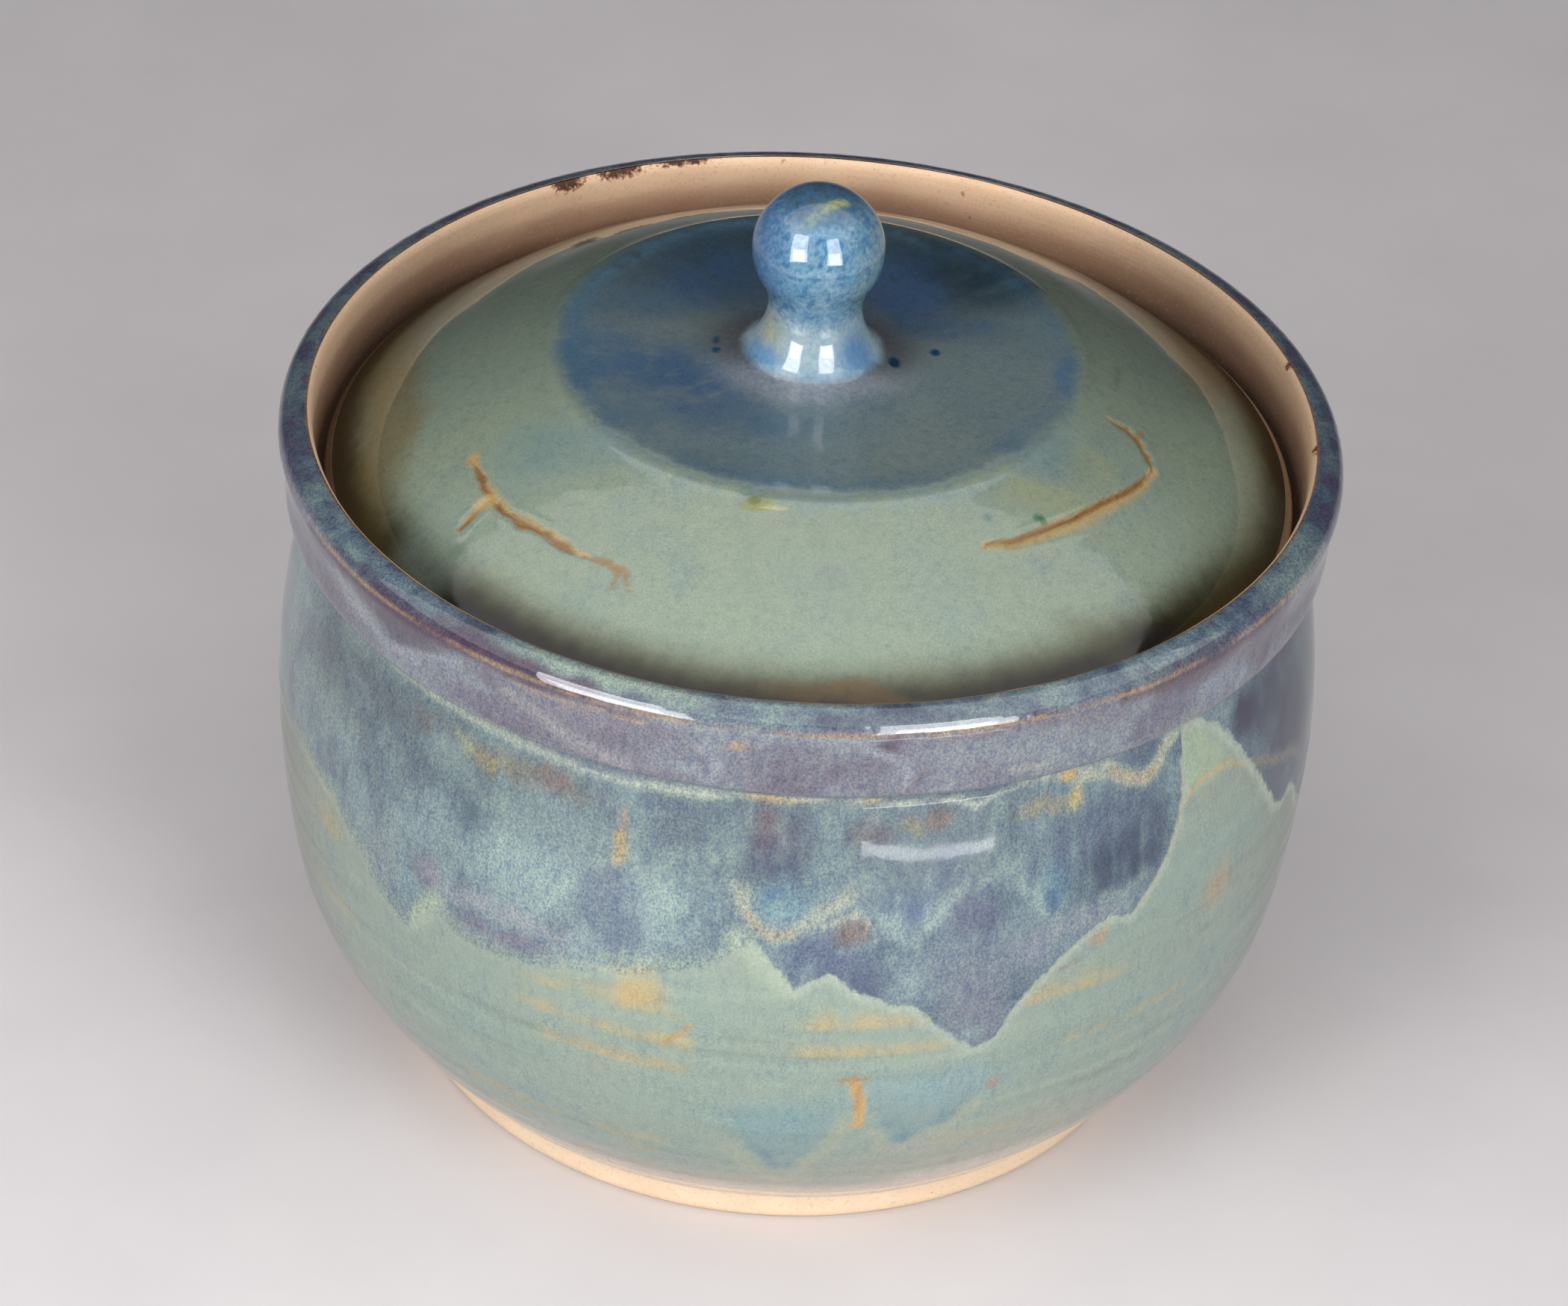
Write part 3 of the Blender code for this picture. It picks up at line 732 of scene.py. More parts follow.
def paint_body(grid):
    """The belly: a celadon ground with blue and violet glaze run over its upper half."""
    az, z = grid.az, grid.z
    x = az * DEGREE_LENGTH
    wide = clouds(x, z, 26, 12, 11, 4, GIRTH)
    level = clouds(x, z, 30, 2.2, 21, 3, GIRTH)
    falling = clouds(x, z, 2.6, 16, 31, 4, GIRTH)
    mottle = clouds(x, z, 5, 6, 41, 5, GIRTH)
    fine_fall = clouds(x, z, 1.5, 7, 36, 3, GIRTH)

    def drift(amount):
        """The grid's places pushed about by noise, so that what is drawn there has an uneven edge."""
        return x + amount * mottle, z + amount * falling

    under = Coat(z.shape, CELADON, DEGREE_LENGTH)
    under.wash(ease(-0.2, 0.9, wide), (130, 156, 150), 0.5)
    under.wash(ease(0.1, 0.9, -wide), (150, 156, 140), 0.5)
    under.wash(ease(0.15, 0.8, level), (118, 129, 116), 0.5)
    under.wash(ease(0.15, 0.8, -level), (156, 169, 152), 0.5)
    under.wash(ease(0.0, 0.8, mottle), (126, 148, 146), 0.3)
    for left, right, low, high, strength in OCHRE_RINGS:
        across = band(x + 2 * mottle, left * DEGREE_LENGTH, right * DEGREE_LENGTH, 2.6)
        level_z = z + 0.25 * mottle
        mask = across * ease(low - 0.5, low + 0.3, level_z) * (1 - ease(low + 0.6, high + 1.4, level_z))
        under.wash(mask * ease(-1.3, 0.7, level + falling), OCHRE, 1.1 * strength)
    under.stain(GROUND_STAINS, *drift(1.5), 0.6)
    under.draw(GROUND_STROKES, *drift(0.5))
    under.draw(BAR_STROKES, *drift(0.3))
    for points, outline in TURQUOISE_POINTS:
        edge = np.array(points, float)
        height = np.interp(az, edge[:, 0], edge[:, 1], left=99, right=99)
        inside = ease(-0.4, 1.4, z - height + 1.2 * mottle) * (1 - ease(33, 43, z))
        under.wash(inside, (116, 146, 150), 0.6)
        core = inside * (1 - ease(6, 12, z - edge[:, 1].min())) * ease(-0.8, 0.3, mottle + falling)
        under.wash(core, (96, 126, 140), 0.5)
        under.draw([(1.3, 0.9, (162, 166, 144), 0.55, outline)], *drift(0.9))
    # painted reflection of the pale floor: lighter and warmer towards the foot
    under.wash(1 - ease(14, 24, z + 1.2 * wide), (178, 168, 152), 0.45)
    under.wash(1 - ease(8, 17, z + 1.5 * wide), (226, 210, 192), 0.8)

    left_side = ease(-175, -160, az) * (1 - ease(-7, -2, az))
    over = Coat(z.shape, (111, 129, 134), DEGREE_LENGTH)
    over.wash(left_side, (122, 141, 143))
    tone = mottle + 0.4 * falling + 0.4 * fine_fall
    over.wash(ease(-0.1, 1.0, tone), (79, 98, 111), 0.75)
    over.wash(left_side * ease(-0.1, 1.0, tone), (108, 122, 130), 0.85)
    over.wash(ease(0.1, 1.1, -tone), (140, 158, 155), 0.7)
    over.stain(RUN_STAINS, *drift(1.5), 0.6, ease(-1.3, 0.1, tone))
    scallops = [(0.8 * width, 0.9, MILKY, 0.8 * strength, points) for width, strength, points in SCALLOPS]
    over.draw(scallops, *drift(1.6), ease(-1.2, 0.6, -tone + 0.3))
    over.draw(FOLD_STROKES, *drift(0.3))
    # the milky notch between the two dark falls
    notch = (band(az + 0.5 * mottle, 47.2, 60, 0.8) * band(z, 84.5, 99, 0.8)
             * (1 - ease(-1.0, 1.2, (z - 97.2) * 0.55 + (az - 49.4) - 1.2 * falling)))
    under.wash(notch, (156, 172, 146), 0.9)
    over.draw([(1.0, 0.7, (176, 160, 134), 0.8, NOTCH_LINE[8:])], *drift(0.4))
    under.draw([(0.55, 0.7, (184, 160, 122), 0.75, NOTCH_LINE)], *drift(0.4))
    over.shade(ease(77, 86, z) * ease(-75, -60, az) * (1 - ease(22, 30, az)), 0.76)
    falls = ease(-8, -3, az) * (1 - ease(46, 56, az)) * ease(66, 78, z)
    over.shade(falls * ease(0.0, 0.7, fine_fall), (0.78, 0.84, 0.92), 0.45)
    over.wash(falls * ease(0.1, 0.8, -fine_fall), (128, 154, 154), 0.2)
    over.draw(SEAM_STROKES, *drift(0.25))
    over.draw(DIP_STROKES, *drift(0.2))
    # the slate of these stains is partly painted shade under the collar's edge
    over.stain(SEAM_STAINS, *drift(0.4), 0.5)
    # painted shade: the upper glaze on the right flank is darkened, and the ground glaze where it turns away
    # from the front, most of all on the left
    over.shade(ease(54, 62, az) * (1 - ease(84, 100, az)), (0.44, 0.51, 0.60))
    under.shade(ease(52, 78, np.abs(az)), (0.86, 0.82, 0.77))
    under.shade(1 - ease(-76, -54, az), 0.85)
    over.draw(PALE_TIPS, *drift(0.3))
    under.draw(PALE_TIPS, *drift(0.3))

    run = run_distance(az, z + 0.7 * clouds(x, z, 3.0, 9, 61, 3, GIRTH))
    # on the left the upper glaze melts into the ground with no edge
    over.blend(left_side * (1 - ease(-0.5, 4.5, run)), under.tones)
    strong = ease(-4, -1, az) * (1 - ease(74, 90, az))
    halo = 0.85 * strong + (1 - strong) * (0.30 + 0.25 * wide)
    vein = np.full(z.shape, FAR)
    for points in VEINS:
        away, place, _ = line_distance(x, z, on_belly(points))
        vein = np.minimum(vein, away + 1.2 * np.abs(place - 0.5))
    paint = {
        "under": under.tones,
        "over": over.tones,
        "run": run,
        "halo": np.clip(halo, 0, 1),
        "vein": vein + 0.3 * (1 + mottle),
        "fleck": np.where(run > 0, 0.85, 0.30) + 0.15 * mottle,
    }
    return paint, level, mottle


def paint_collar(grid, paint, lip_end):
    """The collar and lip, painted by the distance s down from the inner edge of the lip."""
    az = grid.az
    s = grid.s + 0.5 * ease(4.5, 7.0, grid.s)
    x = az * DEGREE_LENGTH
    fine = clouds(x, s, 1.1, 4.5, 71, 4, GIRTH)
    wide = clouds(x, s, 14, 7, 81, 4, GIRTH)
    patchy = clouds(x, s, 4, 3, 86, 4, GIRTH)
    tone = wide + 0.5 * fine + 0.6 * patchy
    base = Coat(s.shape, (120, 122, 132), DEGREE_LENGTH)
    base.wash(ease(-0.1, 1.0, tone), (100, 93, 108), 0.8)
    base.wash(ease(0.0, 1.0, -tone), (134, 145, 150), 0.8)
    top = 1 - ease(3.8, 5.2, s + 0.4 * wide + 0.3 * fine)
    base.wash(top, (99, 113, 121), 0.95)
    base.wash(top * ease(-0.2, 0.6, tone - 0.1), (68, 75, 94), 0.8)
    base.wash(top * ease(0.0, 0.8, -tone), (128, 144, 138), 0.8)
    base.stain(COLLAR_STAINS, x + 2.5 * patchy + fine, s + 0.9 * patchy, 0.6, ease(-1.1, 0.1, 0.4 + fine))
    base.draw(COLLAR_STROKES, x + 1.2 * patchy + 0.5 * fine, s + 0.5 * patchy, ease(-1.2, 0.0, 0.5 + fine))
    base.shade(1 - top, (0.94, 0.92, 0.91))
    away = ease(48, 86, np.abs(az))
    base.wash(away * top, (74, 84, 94), 0.65)
    base.wash(away * top * ease(-0.1, 0.5, patchy), (78, 66, 84), 0.6)
    base.wash(away * (1 - top) * ease(-0.6, 0.6, wide + patchy), (84, 80, 94), 0.5)
    # a worn line where the lip meets the collar
    thin = ease(-0.8, 0.3, clouds(x, s, 9, 40, 91, 3, GIRTH) + 0.3 * fine) * (1 - ease(55, 75, np.abs(az)))
    base.wash((1 - ease(0.1, 0.8, np.abs(s - 5.75 + 0.25 * wide))) * thin, (166, 138, 106), 0.7)
    # painted shade: a slate band in the fold under the collar and a darker slate line in its deepest crease;
    # a few cream beads in the fold
    base.wash(ease(17.3, 18.2, s + 0.3 * patchy), (112, 118, 126), 0.75)
    base.wash(band(s + 0.2 * patchy, 21.6, 22.3, 0.3), (84, 94, 106), 0.7)
    for left, right, middle, half, swatch, strength in BEADS:
        mask = (band(x + patchy, left * DEGREE_LENGTH, right * DEGREE_LENGTH, 2.0)
                * band(s + 0.3 * patchy, middle - half, middle + half, 0.5))
        base.wash(mask, swatch, strength)
    base.wash(1 - ease(0.1, 0.55, s + 0.2 * fine), (120, 98, 76), 0.8)
    share = 1 - ease(lip_end - 0.3, lip_end + 0.3, grid.s)
    paint["over"] = paint["over"] * (1 - share[..., None]) + base.tones * share[..., None]
    for key in ("run", "vein"):
        paint[key] = np.where(share > 0.02, FAR, paint[key])
    paint["fleck"] = np.where(share > 0.5, 0.85, paint["fleck"])
    return fine


def build_pot_coat(shell, collar_ring):
    """The outside glaze, over the lip and down to a rolled bead above the foot."""
    bead = arc((BELLY[0][0] - 0.45, GLAZE_FOOT + 0.1), 0.5, -25, -150, 5)
    skin = np.vstack([shell, bead])
    grid = Turned(np.vstack([skin, inset(shell, GLAZE)[::-1][::6]]), COAT_SEGMENTS, shown=len(skin))
    paint, level, mottle = paint_body(grid)
    run = paint["run"]
    collar_end = grid.s[collar_ring, 0]
    fine = paint_collar(grid, paint, collar_end)
    z = grid.z
    belly_part = ease(collar_end, collar_end + 3, grid.s)
    rings = 0.06 * level + 0.03 * np.sin(z * 1.35 + 0.6 * np.sin(z * 0.37) + np.radians(grid.az))
    run_edge = np.exp(-(run - 0.6) ** 2)
    grid.relief = belly_part * (0.16 * ease(-0.6, 1.4, run) + 0.12 * run_edge
                                + rings * (1 - ease(58, 74, z)) + 0.006 * mottle)
    grid.relief += 0.04 * fine * (1 - belly_part)
    grid.relief += 0.03 * clouds(grid.az * DEGREE_LENGTH, z, 60, 40, 101, 2, GIRTH)
    grid.relief *= ease(0, 2.0, grid.s)
    grid.mesh("pot_glaze_coat", "pot", ["pot_glaze"], body_look, paint, closed=True)


def build_pot_body(outside):
    """The clay of the pot, from the middle of its floor over the gallery and the lip to the foot."""
    ring = FOOT_RADIUS - FOOT_RING_WIDTH
    foot = [(FOOT_RADIUS + 1.2, 6.9), (FOOT_RADIUS + 0.5, 6.0), (FOOT_RADIUS + 0.25, 4.0), (FOOT_RADIUS, 1.6),
            (FOOT_RADIUS - 0.2, 0.7), (FOOT_RADIUS - 0.75, 0.1), (FOOT_RADIUS - 1.4, 0.0), (ring + 0.8, 0.0),
            (ring + 0.1, 0.25), (ring - 0.4, 1.0), (ring - 1.4, FOOT_RECESS - 0.6), (ring - 3.0, FOOT_RECESS),
            (30.0, FOOT_RECESS + 0.3), (0.0, FOOT_RECESS + 0.5)]
    belly_inside = inset(np.array(BELLY[::-1], float), WALL)[::-1][1:-1]
    floor = [(0.0, FLOOR_HEIGHT), (20.0, FLOOR_HEIGHT + 0.1), (40.0, FLOOR_HEIGHT + 0.6),
             (51.5, FLOOR_HEIGHT + 1.9), (59.5, FLOOR_HEIGHT + 4.4)]
    inside = smooth_line([*floor, *belly_inside], 3.0)
    gallery = [(GALLERY_MOUTH + 2.6, 93.8), (GALLERY_MOUTH + 1.0, 96.4), (GALLERY_MOUTH + 0.2, 98.8),
               (GALLERY_MOUTH, GALLERY_HEIGHT - 1.0), (GALLERY_MOUTH + 0.35, GALLERY_HEIGHT - 0.25),
               (GALLERY_MOUTH + 1.2, GALLERY_HEIGHT), (GALLERY_RADIUS - 1.4, GALLERY_HEIGHT),
               (GALLERY_RADIUS - 0.5, GALLERY_HEIGHT + 0.35), (GALLERY_RADIUS, GALLERY_HEIGHT + 1.3)]
    wall = smooth_line([gallery[-1], (78.7, 105.0), (78.95, 109.5), (79.2, RIM_TOP - 1.3),
                        (79.45, RIM_TOP - 0.42), (79.72, RIM_TOP + 0.04), (79.85, RIM_TOP + 0.1)], 0.6)
    outline = [inside[inside[:, 1] < LINER_TOP - 1.0], gallery, wall[1:], outside[2:], smooth_line(foot, 0.7)]
    clay = Turned(np.vstack(outline), POT_SEGMENTS)
    across = clay.az * DEGREE_LENGTH
    cloud = clouds(across, clay.z, 18, 6, 111, 4, GIRTH)
    tone = Coat(clay.r.shape, CREAM_CLAY)
    upper = ease(95, 100, clay.z)
    tone.wash(upper, TAN_CLAY)
    # painted shade low on the wall inside the collar, where the lid closes it in, and painted light on its
    # top
    tone.wash(upper * (1 - ease(102.5, 108, clay.z + cloud)), (92, 68, 48), 0.9)
    tone.wash(upper * ease(107, 113, clay.z + cloud), (234, 198, 164), 0.9)
    # painted shade on the wall everywhere but its back, and more on the right
    sides = upper * (1 - ease(125, 158, np.abs(clay.az)))
    tone.shade(sides, 0.72)
    tone.shade(sides * ease(20, 70, clay.az), 0.8)
    specks = np.zeros(clay.r.shape)
    for at, half, depth in LIP_SPECKS:
        specks = np.maximum(specks, blob(clay.az, clay.z, (at, RIM_TOP), (half, depth), 0.6))
    # the ring that the pot stands on and the recess inside it stay flat
    flat = (clay.z < 8) & ((clay.z < 1.2) | (clay.r < 60))
    relief = 0.08 * cloud + 0.05 * clouds(across, clay.z, 200, 1.1, 121, 2, GIRTH)
    clay.relief = np.where(flat, 0, relief)
    paint = {"under": tone.tones, "stain": specks * (clay.r > 76)}
    clay.mesh("pot_body", "pot", ["pot_clay"], clay_look, paint)
    return inside


def build_liner(inside):
    """The glaze inside the pot, from the middle of its floor up to a rolled edge below the gallery."""
    against = inside[inside[:, 1] < LINER_TOP]
    face = inset(against, -LINER_FACE)
    back = inset(against, -LINER_BACK)[::-1]
    face[0, 0] = 0.0
    back[-1, 0] = 0.0
    rim = arc(face[-1] + (0.28, 0.0), 0.27, 180, 20, 4)
    liner = Turned(np.vstack([face, rim, back]), LINER_SEGMENTS, shown=len(face) + len(rim))
    across = liner.az * DEGREE_LENGTH
    wide = clouds(across, liner.s, 30, 20, 131, 4, GIRTH)
    drip = clouds(across, liner.s, 4, 30, 141, 4, GIRTH)
    tone = Coat(liner.r.shape, LINER_GREEN)
    tone.wash(ease(-0.1, 0.8, wide), (128, 152, 146), 0.7)
    tone.wash(ease(84, 93, liner.z + 2 * drip), (170, 150, 116), 0.7)
    tone.wash(1 - ease(11, 15, liner.z + wide), (120, 152, 156), 0.7)
    liner.relief = 0.10 * wide + 0.06 * clouds(across, liner.s, 300, 4.0, 151, 2, GIRTH)
    paint = painted_blank(liner, LINER_GREEN) | {"under": tone.tones}
    liner.mesh("pot_liner_coat", "pot", ["liner_glaze"], liner_look, paint)


def build_pot():
    lip, collar, belly = pot_skin()
    shell = np.vstack([lip, collar[1:], belly[1:]])
    build_pot_coat(shell, len(lip) + len(collar) - 2)
    build_liner(build_pot_body(inset(shell, CLAY_DEPTH)))


# ---------------------------------------------------------------- the lid

LID_GREEN = (135, 147, 130)

# Seen from above, in millimetres. The stains and strokes are as Coat takes them.
SLOPE_STAINS = [
    (48, -52, 9, 2.4, (84, 82, 56), 0.3), (-66, -4, 5, 22, (108, 90, 52), 0.6),
    (14, -70.5, 18, 1.4, (108, 84, 50), 0.6), (3, -55, 2.4, 2.2, (128, 136, 128), 0.5),
    (36, -32, 8, 4, (142, 142, 104), 0.4), (44, -24, 5, 5, (138, 140, 104), 0.4),
    (34, -24, 8, 5, (100, 122, 128), 0.5), (-44, -27, 6, 6, (108, 132, 130), 0.4),
    (-36, -30, 9, 6, (110, 132, 134), 0.4), (-56, -40, 7, 7, (128, 142, 132), 0.4),
    (62, 30, 5, 18, (108, 82, 50), 0.5), (65, -9, 8, 13, (128, 140, 120), 0.5)]
DISC_STAINS = [
    (-25, -8, 13, 6.5, (66, 90, 118), 0.85), (-36, -4, 7, 8, (78, 102, 122), 0.75),
    (-18, -15, 9, 5, (66, 90, 116), 0.75), (-10, -21, 9, 4.5, (76, 98, 116), 0.7),
    (-28, -22, 5, 4, (80, 102, 118), 0.6), (-20, -15, 5, 1.6, (104, 114, 118), 0.6),
    (13, 20, 7, 10, (66, 92, 124), 0.8), (-16, 22, 8, 9, (62, 86, 112), 0.7),
    (-26, 13, 7, 5, (72, 94, 114), 0.6), (20, 10, 7, 3.4, (70, 92, 114), 0.6),
    (28, -8, 9, 8, (104, 116, 116), 0.6), (33, 10, 6, 7, (96, 114, 118), 0.6),
    # the first stain on the next line is a painted reflection of the dark backdrop, behind the knob
    (29, 29, 12, 9, (46, 62, 72), 0.7), (39.5, -4, 3, 9, (76, 102, 128), 0.7),
    (-12, -32, 10, 4, (96, 112, 114), 0.6), (14, -31, 14, 6, (116, 126, 122), 0.6)]
LID_SPOTS = [
    (12.2, -2.4, 1, 1.4, (14, 52, 70), 0.95), (18.6, 2.5, 0.8, 1, (24, 58, 90), 0.9),
    (-16, 1.6, 0.6, 1.2, (32, 72, 90), 0.8), (-15.9, -1.4, 0.7, 0.8, (28, 68, 90), 0.85),
    (-1, -9.6, 0.8, 0.8, (36, 84, 104), 0.8), (35.6, -37.2, 1, 0.7, (40, 88, 72), 0.75),
    (36.4, -37.6, 0.6, 0.5, (92, 108, 48), 0.8), (27.5, -39.8, 0.7, 0.7, (74, 102, 108), 0.5),
    (-53, -42, 1.4, 1.2, (100, 120, 100), 0.6), (-7.6, -43.3, 2.6, 1.2, (132, 134, 78), 0.75),
    (-8, -42.6, 1, 0.7, (92, 100, 50), 0.8), (-5, -43.8, 2, 0.3, (180, 172, 128), 0.8),
    (47.5, 2, 0.5, 3.4, (84, 88, 66), 0.35), (-52, 6, 1.4, 0.8, (116, 122, 104), 0.5)]
# Crawl cracks: the side that the glaze drew back from, 0 for both, its width, strength and points.
# Each is rusty along its middle and ochre where the clay shows through thin glaze.
CRACKS = [
    (1, 1.3, 0.95, [(-52.5, -25.5), (-51, -29), (-49.5, -33), (-48, -36), (-44, -40.5), (-40, -44),
                    (-36, -47.5), (-33, -49.5)]),
    (0, 1.3, 0.85, [(-49, -35), (-51, -36.5), (-53, -38.5)]),
    (0, 0.8, 0.6, [(-33, -49.5), (-29, -51), (-26.5, -53), (-26, -56)]),
    (0, 0.7, 0.5, [(-28.5, -51.2), (-27.8, -53.2), (-28.6, -55.6)]),
    (1, 0.9, 0.85, [(46, -10.5), (49, -11), (51, -13), (52.5, -15.5), (53, -18)]),
    (0, 0.5, 0.6, [(50.3, -12.2), (51.2, -10.8), (52, -10)]),
    (1, 2.1, 1.0, [(53, -18), (51.2, -22), (48.5, -26), (45, -30), (41, -34.6), (36, -39), (31.5, -42.6),
                   (27, -44.6)])]
CRACK_ENDS = [(-49.4, -35.2, 1.8, 1.4, (186, 156, 108), 0.7), (-52, -26, 1, 1.4, (174, 140, 96), 0.7)]


def lid_skin():
    """The glazed top of the lid, from the skirt of the knob out to the glaze line at its edge."""
    flat = [(KNOB_SKIRT, PLATEAU + 0.25), (18.5, PLATEAU + 0.02), (24.0, PLATEAU - 0.18),
            (32.0, PLATEAU - 0.12), (38.5, PLATEAU + 0.1), (41.2, PLATEAU + 0.12), (42.6, PLATEAU - 0.1),
            (44.0, PLATEAU - 0.75)]
    run = LID_GLAZE_RADIUS - PLATEAU_RADIUS
    drop = PLATEAU - LID_GLAZE_FOOT
    length = math.hypot(run, drop)
    slope = []
    for along in (0.16, 0.3, 0.44, 0.58, 0.72, 0.86, 0.96):
        bulge = DOME_RISE * math.sin(math.pi * along) / length
        slope.append((PLATEAU_RADIUS + run * along + drop * bulge, PLATEAU - drop * along + run * bulge))
    edge = [(LID_GLAZE_RADIUS - 0.15, LID_GLAZE_FOOT + 0.25)]
    return smooth_line([*flat, *slope, *edge], 0.42)


def blue_disc(x, y, r, disc, swirl, wide, small):
    """The blue glaze of the flat disc in the middle of the lid, whose radius is disc."""
    blue = Coat(r.shape, (106, 119, 120))
    blue.wash(ease(-0.2, 0.9, swirl), (92, 110, 120), 0.6)
    blue.wash(ease(0.0, 0.9, -wide), (114, 124, 117), 0.6)
    # painted shade: darker towards the back of the disc
    blue.wash(1 - ease(-34, 6, -y), (48, 60, 66), 0.85)
    ring = np.exp(-((r - disc + 3.2) / 2.4) ** 2) * ease(-1.0, 0.6, swirl + small)
    blue.wash(ring, (80, 106, 122), 0.75)
    streak = clouds(np.degrees(np.arctan2(x, -y)), r, 5, 12, 241, 4, 360)
    broken = ease(-1.0, 0.3, streak + 0.5 * small + 0.3)
    blue.stain(DISC_STAINS, x + 4 * swirl, y + 2.5 * swirl, 0.8, broken)
    # a milky halo runs out from the foot of the knob; painted shade, brown, lies close in at its sides and
    # behind it
    knob_away = np.hypot(x - KNOB_X, y)
    milk = (1 - ease(11.5, 19.5, knob_away + 1.5 * swirl)) * ease(-2, 9, -y)
    blue.wash(milk, (134, 137, 144), 0.85)
    blue.wash((1 - ease(11, 17, knob_away + swirl)) * ease(-12, -3, y), (84, 92, 98), 0.8)
    blue.stain([(KNOB_X + 12 * side, 2, 5, 6, (82, 79, 76), 0.6) for side in (-1, 1)], x, y, 0.8)
    return blue


def lid_tones(x, y):
    """The colour, the strength of its flecks and the relief of the lid's glaze at points seen from above."""
    r = np.hypot(x, y)
    swirl = clouds(x, y, 9, 9, 201, 5)
    wide = clouds(x, y, 22, 22, 211, 4)
    small = clouds(x, y, 2.0, 2.0, 221, 4)
    tone = Coat(r.shape, LID_GREEN)
    tone.wash(ease(-0.1, 0.8, wide), (126, 143, 135), 0.6)
    tone.wash(ease(0.0, 0.9, -wide), (140, 149, 126), 0.6)
    tone.wash(ease(0.1, 0.9, swirl), (120, 136, 134), 0.4)
    # painted shade: darker towards the back of the lid
    tone.wash(1 - ease(-25, 45, -y), (92, 101, 88), 0.75)
    # the pooled rim runs to brown and black-green all round, darkened partly as painted shade from the collar
    # wall; in front a darker band is painted shadow of the collar's front wall
    tone.wash(ease(66.0, 73.0, r + wide), (92, 88, 62), 0.7)
    tone.wash(ease(69.5, 74.6, r + 0.8 * small), (56, 50, 34), 0.9)
    forward = ease(0.2, 0.7, -y / r)
    tone.wash(ease(64.5, 69.5, r + 0.5 * small) * forward, (98, 100, 72), 0.45)
    tone.wash(ease(67.2, 71.8, r + 0.5 * small) * forward, (42, 35, 21), 0.94)
    tone.wash(ease(72.6, 75.2, r + 0.4 * small) * forward, (112, 88, 58), 0.8)
    tone.stain(SLOPE_STAINS, x + 2 * swirl, y + 2 * swirl, 0.5)

    # the flat disc in the middle took the blue glaze
    disc = 42.0 + 0.9 * swirl + 0.6 * small + 1.5 * ease(0.0, 40, y) - 1.2 * ease(10, 42, -y)
    inside = 1 - ease(-2.8, 1.4, r - disc)
    tone.blend(inside, blue_disc(x, y, r, disc, swirl, wide, small).tones)
    halo = np.exp(-((r - disc - 1.6) / 2.0) ** 2) * ease(0, 40, -y)
    tone.wash(halo * ease(-0.6, 0.4, small), (118, 136, 138), 0.5)
    lip_of_disc = np.exp(-((r - disc + 0.7) / 0.45) ** 2) * ease(15, 32, -y)
    tone.wash(lip_of_disc, (146, 164, 164), 0.35)
    tone.stain(LID_SPOTS, x, y, 0.35)

    relief = np.zeros(r.shape)
    for drawn_back, wide_band, strength, points in CRACKS:
        away, place, side = line_distance(x + 0.35 * small, y + 0.35 * small, points)
        taper = np.clip(np.minimum(place / 0.12, (1 - place) / 0.12), 0.25, 1)
        width = wide_band * (0.55 + 0.45 * np.sin(np.pi * np.clip(place, 0, 1)))
        reach = np.where(side * drawn_back > 0, width, width * (0.35 if drawn_back else 0.6))
        tone.wash(1 - ease(reach * 0.4, reach * 1.3, away), (176, 150, 104), 0.85 * strength)
        tone.wash(1 - ease(0.15, 0.75, away / taper), (122, 84, 50), 0.9 * strength)
        relief -= 0.22 * (1 - ease(0.2, 1.2, away / taper)) * strength
        relief += 0.08 * np.exp(-((away - reach - 0.4) / 0.5) ** 2) * strength
    tone.stain(CRACK_ENDS, x + small * 0.4, y + small * 0.4, 0.5)
    relief += 0.06 * wide + 0.03 * swirl + 0.02 * np.sin(r * 0.9) * ease(44, 50, r)
    relief += 0.20 * blob(x, y, (-7.4, -43.3), (3.2, 1.6))
    return tone.tones, 0.26 + 0.04 * inside + 0.08 * swirl, relief


